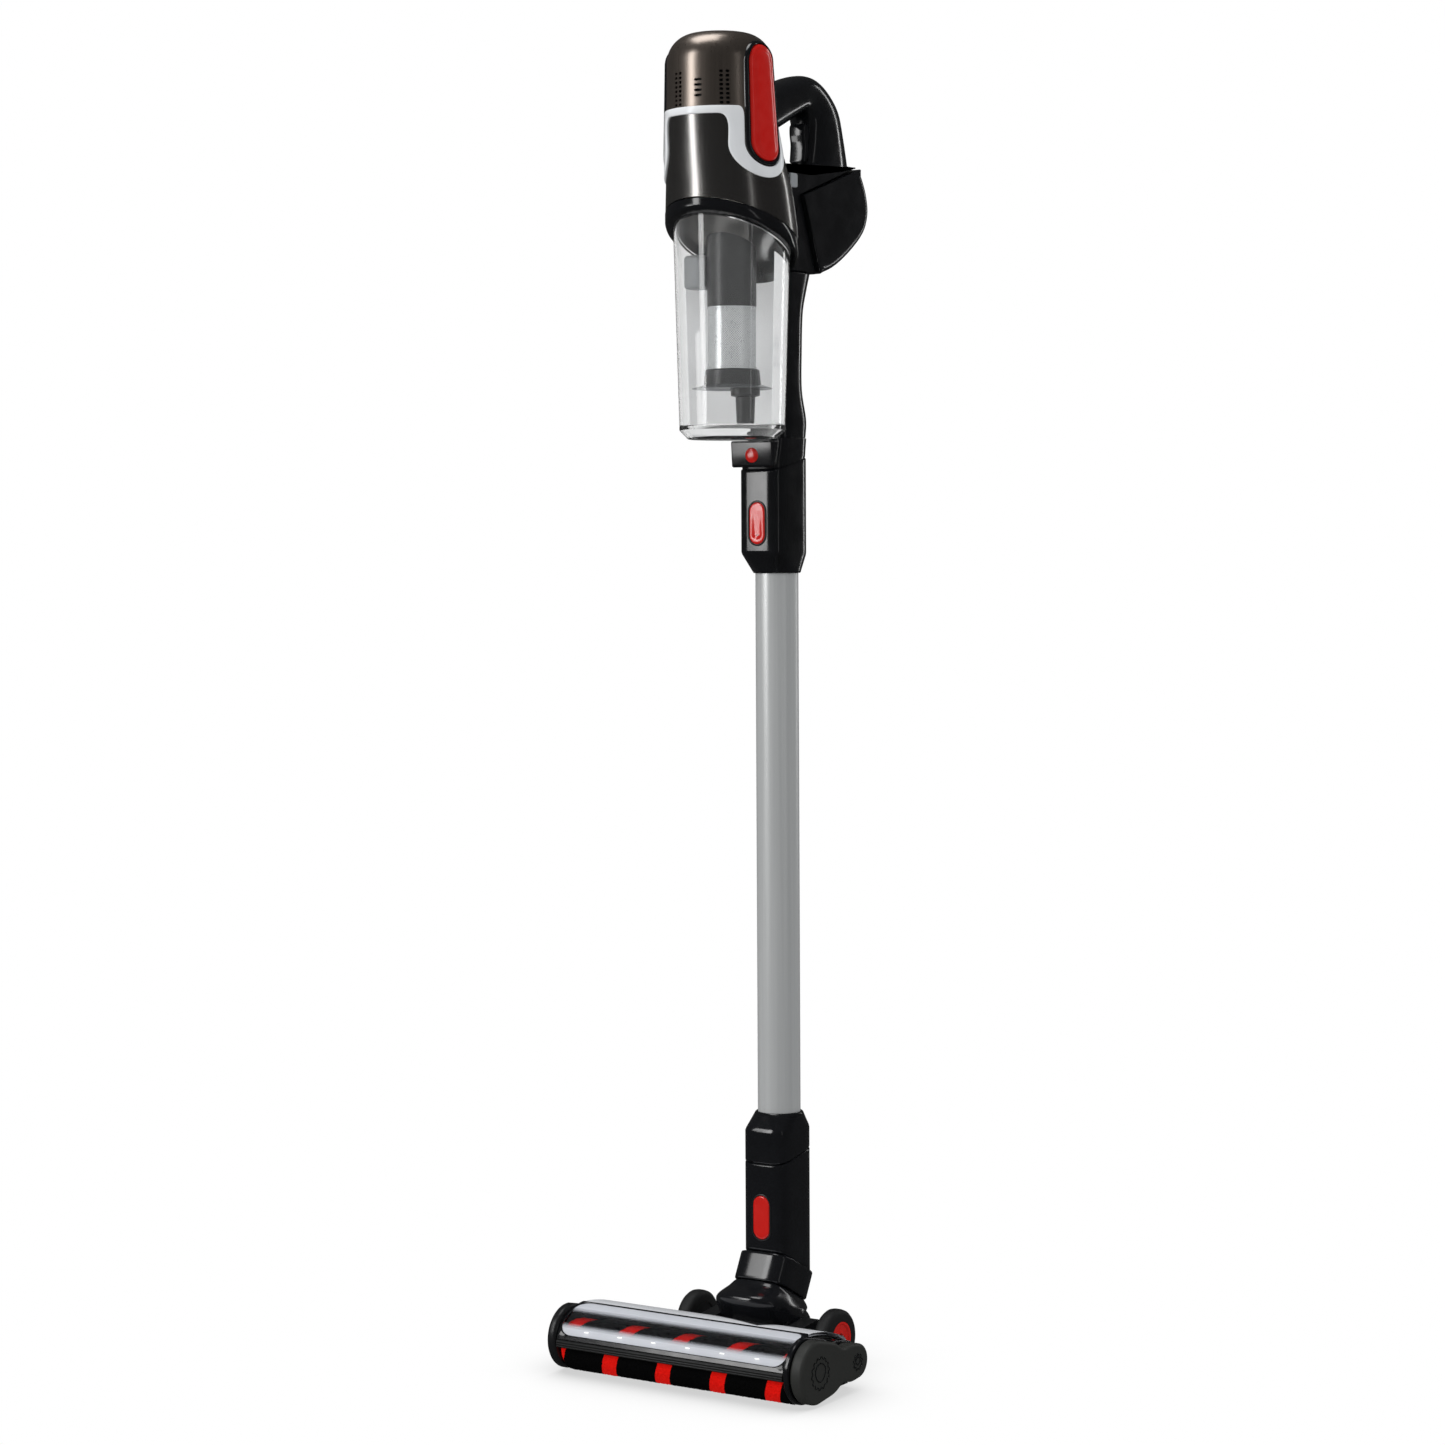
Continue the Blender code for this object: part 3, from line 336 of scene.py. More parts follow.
def perforated_steel():
    """Dots at the crossings of two sine waves, one round the cylinder, one up it."""
    made = finish("perforated_steel", "#c6c9ca", "#d6d8d9", (0.25, 0.35), 1.0, 0.003, Metallic=0.6)
    tree = made.node_tree
    shader = tree.nodes["Principled BSDF"]
    place = add(tree, "ShaderNodeTexCoord").outputs["Object"]
    middle = add(tree, "ShaderNodeMapping", {"Vector": place, "Location": (0, -CUP_Y * MM, 0)})
    parts = add(tree, "ShaderNodeSeparateXYZ", {0: middle.outputs[0]})
    around = add(
        tree, "ShaderNodeMath", {0: parts.outputs[1], 1: parts.outputs[0]}, operation="ARCTAN2"
    )
    turns = add(
        tree, "ShaderNodeMath", {0: around.outputs[0], 1: HOLES_ROUND}, operation="MULTIPLY"
    )
    rows = add(
        tree,
        "ShaderNodeMath",
        {0: parts.outputs[2], 1: 2 * math.pi / (HOLE_PITCH * MM)},
        operation="MULTIPLY",
    )
    wave = add(tree, "ShaderNodeMath", {0: turns.outputs[0]}, operation="SINE")
    other = add(tree, "ShaderNodeMath", {0: rows.outputs[0]}, operation="SINE")
    dots = add(
        tree, "ShaderNodeMath", {0: wave.outputs[0], 1: other.outputs[0]}, operation="MULTIPLY"
    )
    holes = add(tree, "ShaderNodeMapRange", {0: dots.outputs[0], 1: 0.2, 2: 0.5, 3: 0.0, 4: 1.0})
    mix = add(
        tree,
        "ShaderNodeMix",
        {0: holes.outputs[0], 6: srgb("#d3d5d6"), 7: srgb("#6f7274")},
        data_type="RGBA",
    )
    tree.links.new(mix.outputs[2], shader.inputs["Base Color"])
    return made


MATERIAL["mesh_steel"] = perforated_steel()

# %% Plush material
ROLLER_Y, ROLLER_Z, ROLLER_R = -119.0, 22.0, 22.0
STRIPE_PITCH, STRIPE_SHARE, STRIPE_START = 54.0, 0.27, 0.235


def striped_plush():
    """Red where the fraction of (x / pitch - turns + start) is below the stripe's share."""
    made = finish(
        "striped_plush", "#050506", "#111113", (0.9, 1.0), 0.9, 0.35, Specular_IOR_Level=0.1
    )
    tree = made.node_tree
    shader = tree.nodes["Principled BSDF"]
    place = add(tree, "ShaderNodeTexCoord").outputs["Object"]
    centre = (0, -ROLLER_Y * MM, -ROLLER_Z * MM)
    middle = add(tree, "ShaderNodeMapping", {"Vector": place, "Location": centre})
    parts = add(tree, "ShaderNodeSeparateXYZ", {0: middle.outputs[0]})
    front = add(tree, "ShaderNodeMath", {0: parts.outputs[1], 1: -1.0}, operation="MULTIPLY")
    angle = add(
        tree, "ShaderNodeMath", {0: parts.outputs[2], 1: front.outputs[0]}, operation="ARCTAN2"
    )
    turned_by = add(
        tree,
        "ShaderNodeMath",
        {0: angle.outputs[0], 1: -0.5 / math.pi, 2: STRIPE_START},
        operation="MULTIPLY_ADD",
    )
    along = add(
        tree,
        "ShaderNodeMath",
        {0: parts.outputs[0], 1: per_metre(STRIPE_PITCH), 2: turned_by.outputs[0]},
        operation="MULTIPLY_ADD",
    )
    share = add(tree, "ShaderNodeMath", {0: along.outputs[0]}, operation="FRACT")
    red = add(tree, "ShaderNodeMath", {0: share.outputs[0], 1: STRIPE_SHARE}, operation="LESS_THAN")
    pile = add(
        tree, "ShaderNodeTexNoise", {"Vector": place, "Scale": per_metre(1.2), "Detail": 3.0}
    )
    dark = add(
        tree,
        "ShaderNodeMix",
        {0: pile.outputs[0], 6: srgb("#010101"), 7: srgb("#0b0b0c")},
        data_type="RGBA",
    )
    bright = add(
        tree,
        "ShaderNodeMix",
        {0: pile.outputs[0], 6: srgb("#f00500"), 7: srgb("#ff2015")},
        data_type="RGBA",
    )
    mix = add(
        tree,
        "ShaderNodeMix",
        {0: red.outputs[0], 6: dark.outputs[2], 7: bright.outputs[2]},
        data_type="RGBA",
    )
    tree.links.new(mix.outputs[2], shader.inputs["Base Color"])
    return made


MATERIAL["plush"] = striped_plush()
print(len(MATERIAL), "finishes in all")

# %% [markdown]
# ## How a piece is made
# A surface is a grid of points: rows along one parameter, columns round the
# other. Quads join neighbours, and a polygon caps each open end. A piece is one
# or more such closed surfaces with its doubles merged, its faces turned outwards
# and its sharp edges rounded as a mould would leave them.


# %% Grids to meshes
def surface(points, wrap_rows=False, wrap_columns=True, caps=True):
    """Joins each point of a grid to its neighbours, and caps the first and last row."""
    points = np.asarray(points, float)
    rows, columns = points.shape[:2]
    number = np.arange(rows * columns).reshape(rows, columns)
    ends = [number[0][::-1].tolist(), number[-1].tolist()]
    if wrap_rows:
        number = np.vstack([number, number[:1]])
    if wrap_columns:
        number = np.hstack([number, number[:, :1]])
    corners = (number[:-1, :-1], number[:-1, 1:], number[1:, 1:], number[1:, :-1])
    faces = np.stack(corners, -1).reshape(-1, 4).tolist()
    if caps and not wrap_rows:
        faces += ends
    return points.reshape(-1, 3), faces


def piece(name, surfaces, material, body, replaced=(), edge=0.0, sharp=38):
    """A finished piece in the frame: merged, turned outwards, softened and riding on its body."""
    points, faces, start = [], [], 0
    for vertices, polygons in surfaces:
        points.append(vertices)
        faces += [[start + v for v in polygon] for polygon in polygons]
        start += len(vertices)
    mesh = bpy.data.meshes.new(name)
    mesh.from_pydata((np.concatenate(points) * MM).tolist(), [], faces)
    build = bmesh.new()
    build.from_mesh(mesh)
    bmesh.ops.remove_doubles(build, verts=build.verts, dist=0.000004)
    bmesh.ops.recalc_face_normals(build, faces=build.faces)
    build.to_mesh(mesh)
    build.free()
    return settle(name, mesh, material, body, replaced, edge, sharp)


def settle(name, mesh, material, body, replaced, edge, sharp):
    """Links a mesh as a piece, with smooth shading up to an angle and a small bevel."""
    mesh.materials.clear()
    mesh.materials.append(MATERIAL[material])
    mesh.shade_smooth()
    mesh.set_sharp_from_angle(angle=math.radians(sharp))
    made = bpy.data.objects.new(name, mesh)
    bpy.context.scene.collection.objects.link(made)
    if edge:
        bevel = made.modifiers.new("Edge", "BEVEL")
        bevel.width = edge * MM
        bevel.segments = 2
        bevel.limit_method = "ANGLE"
        bevel.angle_limit = math.radians(sharp)
        bevel.harden_normals = True
    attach(made, body)
    if replaced:
        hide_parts(*replaced)
    print(name, len(mesh.polygons), "faces")
    return made


def merged_copy(node, material, body, edge=0.5):
    """A copy of a CAD node with its loose triangles merged, then softened."""
    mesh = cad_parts[node].data.copy()
    build = bmesh.new()
    build.from_mesh(mesh)
    bmesh.ops.remove_doubles(build, verts=build.verts, dist=0.00001)
    bmesh.ops.dissolve_limit(build, angle_limit=0.002, verts=build.verts, edges=build.edges)
    build.to_mesh(mesh)
    build.free()
    return settle(f"{node}_moulded", mesh, material, body, (node,), edge, 32)


# %% [markdown]
# ## Rings, lathes and plates
# Most mouldings here are one of three kinds: rounded rings joined along an axis,
# a profile turned about an axis, or a flat outline with rounded edges.

# %% Shape helpers
AROUND = np.linspace(0, 2 * np.pi, 96, endpoint=False)


def ring(centre_y, z, half_x, half_y, power=2.0, slope=0.0):
    """A superellipse: |x/a|^n + |y/b|^n = 1, with a height that changes with y by slope."""
    cosine, sine = np.cos(AROUND), np.sin(AROUND)
    x = half_x * np.sign(cosine) * np.abs(cosine) ** (2 / power)
    y = half_y * np.sign(sine) * np.abs(sine) ** (2 / power)
    return np.stack([x, centre_y + y, z + slope * y], -1)


def through(rings, steps=6):
    """Rings, or points, on a Catmull-Rom curve that passes through the given ones."""
    rings = np.asarray(rings, float)
    first, last = 2 * rings[:1] - rings[1:2], 2 * rings[-1:] - rings[-2:-1]
    row = np.concatenate([first, rings, last])
    t = (np.arange(steps) / steps).reshape(-1, *(1,) * (rings.ndim - 1))
    spans = [
        0.5 * (
            2
            * b
            + (c - a)
            * t
            + (2 * a - 5 * b + 4 * c - d)
            * t**2
            + (3 * b - a - 3 * c + d)
            * t**3
        )
        for a, b, c, d in zip(row, row[1:], row[2:], row[3:])
    ]
    return np.concatenate([*spans, rings[-1:]])


def supported(rings):
    """Adds rings close to each end of every long span, so that shading turns only at the edges."""
    rings = np.asarray(rings, float)
    made = [rings[:1]]
    for low, high in zip(rings, rings[1:]):
        span = np.abs(high - low).max()
        near = 1.2 / max(span, 3.6)
        made.append(np.stack([low + (high - low) * near, high + (low - high) * near, high]))
    return np.concatenate(made)


def turned(profile, centre, axis="Z", steps=96, closed=False):
    """A (radius, place) profile carried round an axis; if closed, its last row joins its first."""
    profile = np.asarray(profile, float)
    angle = np.linspace(0, 2 * np.pi, steps, endpoint=False)
    a = profile[:, :1] * np.cos(angle)
    b = profile[:, :1] * np.sin(angle)
    c = np.repeat(profile[:, 1:], steps, 1)
    order = {"X": (c, a, b), "Y": (b, c, a), "Z": (a, b, c)}[axis]
    return surface(np.stack(order, -1) + np.asarray(centre, float), wrap_rows=closed)


def rounded(corners, reach, steps=6):
    """Each corner of a polygon becomes a parabola that starts and ends reach from it."""
    corner = np.asarray(corners, float)
    before, after = np.roll(corner, 1, 0) - corner, np.roll(corner, -1, 0) - corner
    start = corner + before * np.minimum(
        reach / np.linalg.norm(before, axis=1, keepdims=True), 0.45
    )
    end = corner + after * np.minimum(reach / np.linalg.norm(after, axis=1, keepdims=True), 0.45)
    t = np.linspace(0, 1, steps + 1)[None, :, None]
    bend = (1 - t) ** 2 * start[:, None] + 2 * t * (1 - t) * corner[:, None] + t**2 * end[:, None]
    return bend.reshape(-1, 2)


def plate(outline, span, fillet, steps=5):
    """A (y, z) outline between two x places; its edge is a quarter circle that moves in as it rises.

    fillet is one radius in millimetres, or one for each point of the outline.
    """
    outline = np.asarray(outline, float)
    ahead = np.roll(outline, -1, 0) - np.roll(outline, 1, 0)
    inward = np.stack(
        [-ahead[:, 1], ahead[:, 0]], -1
    ) / np.linalg.norm(ahead, axis=1, keepdims=True)
    y, z = outline.T
    if (y * np.roll(z, -1) - z * np.roll(y, -1)).sum() < 0:
        inward = -inward
    angle = np.linspace(0, np.pi / 2, steps + 1)[:, None]
    fillet = np.broadcast_to(fillet, len(outline))
    inset = fillet * (1 - np.sin(angle))
    drop = fillet * (1 - np.cos(angle))
    inset = np.concatenate([inset[:1] * 1.25, inset, inset[::-1], inset[:1] * 1.25])
    drop = np.concatenate([drop[:1], drop])
    x = np.concatenate([span[1] - drop, span[0] + drop[::-1]])
    flat = outline + inward * inset[..., None]
    return surface(np.concatenate([x[..., None], flat], -1))


def stadium(width, height, centre=(0.0, 0.0), count=24):
    """An upright slot with half-round ends, as points round it."""
    radius = width / 2
    rise = height / 2 - radius
    angle = np.linspace(0, np.pi, count)
    top = np.stack([radius * np.cos(angle), rise + radius * np.sin(angle)], -1)
    return np.concatenate([top, -top]) + np.asarray(centre)


# %% [markdown]
# ## The body surface
# The motor housing and the shell below it share one flowing surface: circles
# whose radius and centre change with height, closing in a rounded shoulder. Every
# part on it, such as trim, bezels and buttons, is that surface pushed out a little.

# %% Body surface function
HEIGHTS = np.array([880, 953, 989, 1015, 1041.5, 1064, 1087.0])
RADII = np.array([55, 55, 52, 48, 44.7, 43.7, 43.5])
CENTRES = np.array([-41.8, -41.8, -45.5, -52, -57.2, -58, -58.3])
SHOULDER_R, SHOULDER_Z = 24.0, 1087.0
fine = np.arange(880, 1088.0)
kernel = np.hanning(23) / np.hanning(23).sum()
soft_radius = np.convolve(np.pad(np.interp(fine, HEIGHTS, RADII), 11, "edge"), kernel, "valid")
soft_centre = np.convolve(np.pad(np.interp(fine, HEIGHTS, CENTRES), 11, "edge"), kernel, "valid")


def body_circle(height):
    """Radius and centre of the body's circle at a height, and how far its skin leans up."""
    low = np.minimum(height, SHOULDER_Z)
    lean = np.arcsin(np.clip((height - SHOULDER_Z) / SHOULDER_R, 0, 1))
    radius = np.interp(low, fine, soft_radius) - SHOULDER_R * (1 - np.cos(lean))
    return radius, np.interp(low, fine, soft_centre), lean


def on_body(azimuth, height, offset=0.0):
    """The point at an azimuth from the front, at a height, moved out by offset."""
    azimuth, height, offset = np.broadcast_arrays(azimuth, height, offset)
    radius, centre, lean = body_circle(height)
    radius = radius + offset * np.cos(lean)
    z = height + offset * np.sin(lean)
    return np.stack([radius * np.sin(azimuth), centre - radius * np.cos(azimuth), z], -1)


def azimuth_at(y, height):
    """The azimuth on the +X side where the body's surface has this y."""
    radius, centre, _ = body_circle(height)
    return np.arccos(np.clip((centre - y) / radius, -1, 1))


print("body radius at the shoulder:", round(float(body_circle(SHOULDER_Z)[0]), 2), "mm")

# %% [markdown]
# ## Motor housing
# A moulded cap with air slots in front: four short slots between two fields of
# small dots. The wall has a real thickness, so the slots are cut right through,
# and a black sheet inside the wall is painted shade that makes them read as dark holes.

# %% Motor housing with its vents
WALL = 2.5
SEAM_Z = 1041.5
lean_up = np.linspace(0, np.pi / 2, 20)
cap_heights = np.concatenate(
    [np.linspace(SEAM_Z + 0.3, 1086, 24), SHOULDER_Z + SHOULDER_R * np.sin(lean_up)]
)
azimuths = np.linspace(0, 2 * np.pi, 128, endpoint=False)
outside = on_body(azimuths[None], cap_heights[:, None])
inside = on_body(azimuths[None], cap_heights[::-1, None], -WALL)
housing = piece(
    "motor_housing_cap",
    [surface(np.concatenate([inside, outside]))],
    "housing",
    "handheld",
    ("motor_housing",),
)


# azimuth in degrees, lowest row, pitch between rows, number of rows, half width, half height
SLOTS = [(10.0, 1056.3, 4.25, 4, 3.3, 1.0)]
DOTS = [
    (middle + step, 1050, 3.6, 8, 1.6, 1.15) for middle in (-16.8, 38.9) for step in (-3.4, 3.4)
]


def vent_cutters():
    """Level slots and dots, each a stadium carried through the wall at its azimuth."""
    made, spots = [], []
    for turn, lowest, pitch, rows, half_wide, half_high in SLOTS + DOTS:
        spots += [
            (math.radians(turn), lowest + pitch * row, half_wide, half_high) for row in range(rows)
        ]
    for azimuth, z, half_wide, half_high in spots:
        outline = stadium(2 * half_high, 2 * half_wide, count=8)[:, ::-1]
        radius, centre, _ = body_circle(z)
        across = np.array([math.cos(azimuth), math.sin(azimuth), 0])
        out = np.array([math.sin(azimuth), -math.cos(azimuth), 0])
        flat = outline[:, :1] * across + outline[:, 1:] * np.array([0, 0, 1.0])
        reach = [np.array([0, float(centre), z]) + out * (float(radius) + far) for far in (-6, 4)]
        made.append(surface(np.stack([flat + spot for spot in reach])))
    return made


def cut(made, cutters):
    """Takes closed surfaces away from a piece, and keeps only the result."""
    tool = piece("cutting_tool", cutters, "satin_black", "handheld")
    cutting = made.modifiers.new("Cut", "BOOLEAN")
    cutting.solver = "EXACT"
    cutting.object = tool
    bpy.context.view_layer.update()
    graph = bpy.context.evaluated_depsgraph_get()
    mesh = bpy.data.meshes.new_from_object(made.evaluated_get(graph))
    made.modifiers.clear()
    made.data = mesh
    bpy.data.objects.remove(tool)
    mesh.set_sharp_from_angle(angle=math.radians(38))
    return made


cut(housing, vent_cutters())
# a black sheet just inside the wall behind the vents: painted shade, so the slots read dark
shade_sheet_heights = np.linspace(1046, 1080, 8)
shade_sheet = [
    on_body(azimuths[None], rows[:, None], -offset)
    for rows, offset in ((shade_sheet_heights, 3.7), (shade_sheet_heights[::-1], 4.5))
]
piece(
    "vent_shade_sheet",
    [surface(np.concatenate(shade_sheet), wrap_rows=True)],
    "satin_black",
    "handheld",
)

# %% [markdown]
# ## Lower shell and rim
# The shell runs from the seam down to a rim that is cut on a slant, low at the
# back, where the dust cup comes away. The shell is the brightest lacquered part.

# %% Lower shell and rim
CUP_TOP_R, CUP_BOTTOM_R = 48.3, 44.1
CUP_BOTTOM_Z, CUP_TOP_Z, CUP_SLOPE = 790.9, 940.5, -0.45
RIM_Z, RIM_SLOPE = 953.0, -0.40


def slanted(radius, z, slope):
    """A circle seen from above, on a plane that falls to the rear."""
    return ring(CUP_Y, z, radius, radius, 2.0, slope)


share = np.linspace(0, 1, 40)[:, None]
low_edge = RIM_Z + 0.4 + RIM_SLOPE * -55 * np.cos(azimuths)[None]
shell_heights = low_edge + (SEAM_Z - 0.2 - low_edge) * share
shell = on_body(azimuths[None], shell_heights)
shell_inner = on_body(azimuths[None], shell_heights[::-1], -WALL)
shell_skin = piece(
    "lower_shell_skin",
    [surface(np.concatenate([shell, shell_inner]), wrap_rows=True)],
    "gunmetal",
    "handheld",
    ("lower_shell",),
)
rim_rings = [
    slanted(52.6, CUP_TOP_Z + 0.6, CUP_SLOPE),
    slanted(54.4, CUP_TOP_Z + 1.6, CUP_SLOPE),
    slanted(55.0, CUP_TOP_Z + 3.6, CUP_SLOPE),
    slanted(55.0, RIM_Z - 0.9, RIM_SLOPE),
    slanted(54.3, RIM_Z - 0.1, RIM_SLOPE),
    slanted(51.0, RIM_Z - 0.1, RIM_SLOPE),
    slanted(46.0, CUP_TOP_Z + 0.6, CUP_SLOPE),
]
piece(
    "slanted_rim",
    [surface(rim_rings, wrap_rows=True)],
    "gloss_black",
    "handheld",
    ("rim",),
    sharp=50,
)

# %% [markdown]
# ## White trim
# One ribbon of white plastic: an arch across the front that turns down beside
# each bezel, round under it and up behind. Its two edges are drawn in azimuth
# and height, and the ribbon between them is pushed out of the body surface.

# %% White trim ribbon
SIDE_Y, SIDE_Z = -60.7, 1051.5


def ribbon_edge(arm_y, top_z, corner, arc_y, arc_z, radius, rear_top):
    """One edge from the front centre to the rear arm's top, as azimuth and height."""
    t = np.linspace(0, 1, 9)[1:, None]
    run, fall = corner
    start, bend, end = np.array([[arm_y - run, top_z], [arm_y, top_z], [arm_y, top_z - fall]])
    turn = (1 - t) ** 2 * start + 2 * t * (1 - t) * bend + t**2 * end
    drop = np.stack([np.full(7, arm_y), np.linspace(top_z - fall, arc_z, 8)[1:]], -1)
    angle = np.linspace(np.pi, 2 * np.pi, 30)[1:]
    bottom = np.stack([arc_y + radius * np.cos(angle), arc_z + radius * np.sin(angle)], -1)
    rise = np.stack([np.full(12, arc_y + radius), np.linspace(arc_z, rear_top, 13)[1:]], -1)
    side = np.concatenate([turn, drop, bottom, rise])
    corner_azimuth = float(azimuth_at(start[0], top_z))
    front = np.stack([np.linspace(0, corner_azimuth, 20), np.full(20, top_z)], -1)
    side = np.stack([azimuth_at(side[:, 0], side[:, 1]), side[:, 1]], -1)
    return np.concatenate([front, side])


upper = ribbon_edge(SIDE_Y - 19.6, 1047.6, (4.5, 9.0), SIDE_Y, 1019.0, 19.6, 1076)
lower = ribbon_edge(SIDE_Y - 29.3, 1041.4, (5.5, 15.0), SIDE_Y - 1.6, 1018.2, 27.7, 1076)
mirror = np.array([-1, 1.0])
upper = np.concatenate([(upper * mirror)[:0:-1], upper])
lower = np.concatenate([(lower * mirror)[:0:-1], lower])
across = np.array(
    [(0, -0.4), (0, 1.0), (0.05, 1.4), (0.14, 1.6), (0.86, 1.6), (0.95, 1.4), (1, 1.0), (1, -0.4)]
)
edge_points = upper[:, None] + (lower - upper)[:, None] * across[None, :, :1]
trim = on_body(edge_points[..., 0], edge_points[..., 1], across[None, :, 1])
piece("white_arch_trim", [surface(trim)], "white", "handheld", ("white_trim",))

# %% [markdown]
# ## Long side buttons
# Each side carries a red button in a black bezel. Both are nested stadium rings
# laid on the body: a ring's inset from the outline sets how far it stands out.


# %% Bezels and buttons
def side_x(y, z, offset):
    """How far out the body's surface, moved out by offset, lies at this y and z."""
    radius, centre, _ = body_circle(np.minimum(z, SHOULDER_Z))
    rise = np.maximum(z - SHOULDER_Z, 0)
    radius = radius - SHOULDER_R + np.sqrt((SHOULDER_R + offset) ** 2 - rise**2)
    return np.sqrt(radius**2 - (y - centre) ** 2)


def side_rings(sign, size, steps):
    """Stadium rings on one side of the body, from (inset, offset) pairs; the walls run along X."""
    rings = []
    for inset, offset in steps:
        y, z = stadium(size[0] - 2 * inset, size[1] - 2 * inset, (SIDE_Y, SIDE_Z)).T
        rings.append(np.stack([sign * side_x(y, z, offset), y, z], -1))
    return np.stack(rings)


BEZEL_STEPS = [
    (0, -0.4), (0, 1.2), (0.35, 1.9), (1.0, 2.2), (2.1, 2.2), (2.6, 1.8), (2.9, 1.0), (2.9, -0.4)
]
BUTTON_STEPS = [
    (15.3, -1.0), (8, -1.0), (0, -1.0), (0, 1.2), (0.4, 2.0), (1.1, 2.5), (2.4, 2.75), (3.4, 2.55)
]
BUTTON_STEPS += [(4.2, 2.6), (5.2, 2.9), (8, 3.0), (12, 3.0), (15.3, 3.0)]
POCKET_STEPS = [(15.9, -3.4), (6, -3.4), (0, -3.4), (0, 4.0), (6, 4.0), (15.9, 4.0)]
pockets = [surface(side_rings(sign, (31.8, 96.2), POCKET_STEPS), caps=False) for sign in (-1, 1)]
cut(housing, pockets)
cut(shell_skin, pockets)
for side, sign in (("left", -1), ("right", 1)):
    bezel = side_rings(sign, (37.2, 101.6), BEZEL_STEPS)
    piece(
        f"{side}_bezel_frame",
        [surface(bezel, wrap_rows=True)],
        "gloss_black",
        "handheld",
        (f"{side}_bezel",),
    )
    button = side_rings(sign, (30.6, 95.0), BUTTON_STEPS)
    piece(
        f"{side}_long_button_cap",
        [surface(button, caps=False)],
        "red",
        f"{side}_long_button",
        (f"{side}_side_button",),
    )

# %% [markdown]
# ## Dust cup and cyclone
# The cup is a slightly tapered clear wall with an open top on the slant, and a
# bevelled clear lid below. Inside stand the dark shroud, the steel screen, a
# dark skirt and stem, and the inlet. Two pale level marks are printed on the right.

# %% Cup wall and lid
CUP_WALL = 2.2


def cup_size(share):
    """The cup's outer radius and its height, at a share of the way up."""
    radius = CUP_BOTTOM_R + (CUP_TOP_R - CUP_BOTTOM_R) * share
    return radius, CUP_BOTTOM_Z + (CUP_TOP_Z - CUP_BOTTOM_Z) * share


def cup_circle(share, inset):
    """A circle of the cup's wall, moved in by inset; the slant grows with the share."""
    radius, height = cup_size(share)
    return slanted(radius - inset, height, CUP_SLOPE * share)


shares = np.linspace(0, 1, 14)
wall = [cup_circle(share, 0.0) for share in shares]
inner = [cup_circle(share, CUP_WALL) for share in shares[::-1]]
piece(
    "clear_cup_wall",
    [surface(wall + inner, wrap_rows=True)],
    "clear",
    "dust_container",
    ("dust_cup",),
)
lid_profile = [
    (34.5, 782.4), (39.7, 787.4), (41.7, 790.4), (43.6, 790.5), (44.1, 790.0),
    (44.1, 787.2), (43.8, 786.6), (37.2, 779.7), (36.4, 779.5),
]
piece(
    "clear_lid_dish",
    [turned(lid_profile, (0, CUP_Y, 0))],
    "clear",
    "lid",
    ("cup_lid",),
    sharp=30,
)

# %% Hazy rear and level marks
rear = np.radians(np.linspace(84, 276, 44))


def cup_back(radius_in):
    """Rows of the rear of the cup, this far inside its outer face."""
    rows = []
    for share in np.linspace(0.01, 0.93, 12):
        radius, height = cup_size(share)
        y = CUP_Y - (radius - radius_in) * np.cos(rear)
        z = height + CUP_SLOPE * share * (y - CUP_Y)
        rows.append(np.stack([(radius - radius_in) * np.sin(rear), y, z], -1))
    return rows


back_rows = cup_back(CUP_WALL + 0.3) + cup_back(CUP_WALL + 0.9)[::-1]
sheet = surface(back_rows, wrap_rows=True, wrap_columns=False)
# a pale sheet inside the rear of the cup that glows with painted light
piece("frosted_cup_back_painted_glow", [sheet], "haze_with_painted_glow", "dust_container")


def cup_mark(azimuth, z, half_degrees, half_high):
    """A thin printed pad that follows the cup's taper."""
    a = math.radians(azimuth) + np.radians(np.linspace(-half_degrees, half_degrees, 8))
    rows = []
    for rise, off in ((-half_high, 0.02), (-half_high, 0.12), (half_high, 0.12), (half_high, 0.02)):
        radius = cup_size((z + rise - CUP_BOTTOM_Z) / (CUP_TOP_Z - CUP_BOTTOM_Z))[0] + off
        rows.append(
            np.stack([radius * np.sin(a), CUP_Y - radius * np.cos(a), np.full(8, z + rise)], -1)
        )
    return surface(np.stack(rows, 1))


# each mark is a bar over two small blocks: azimuth, height, half width in degrees, half height
MARKS = []
for height in (861.0, 845.0):
    MARKS += [
        (87, height, 4.4, 0.4), (84.4, height - 5.4, 1.0, 1.6), (89.4, height - 5.4, 1.0, 1.6)
    ]
piece("level_marks", [cup_mark(*mark) for mark in MARKS], "white", "dust_container")

# %% Cyclone
STEM = [(0.0, 837.0), (21.8, 837.0), (22.6, 836.2), (24.0, 823.4), (23.4, 822.6), (0.0, 821.6)]
FOOT = [
    (0.0, 823.0), (12.5, 823.0), (12.0, 815.4), (8.2, 814.2), (7.4, 793.2), (6.6, 792.5),
    (0.0, 792.5),
]
shroud = [
    slanted(20.4, 889.0, 0.0),
    slanted(20.4, 904.0, 0.0),
    slanted(20.4, CUP_TOP_Z - 0.3, CUP_SLOPE),
    slanted(18.4, CUP_TOP_Z - 0.3, CUP_SLOPE),
    slanted(18.4, 889.0, 0.0),
]
piece(
    "cyclone_sleeve",
    [surface(shroud, wrap_rows=True)],
    "satin_black",
    "dust_container",
    ("cyclone_shroud",),
    0.4,
)
screen = [
    (19.0, 888.7), (20.4, 888.7), (20.4, 887.2), (19.9, 887.0), (19.9, 839.2),
    (20.4, 839.0), (20.4, 837.4), (19.0, 837.4),
]
piece(
    "screen_cylinder",
    [turned(screen, (0, CUP_Y, 0), closed=True)],
    "mesh_steel",
    "dust_container",
    ("mesh_cylinder",),
)
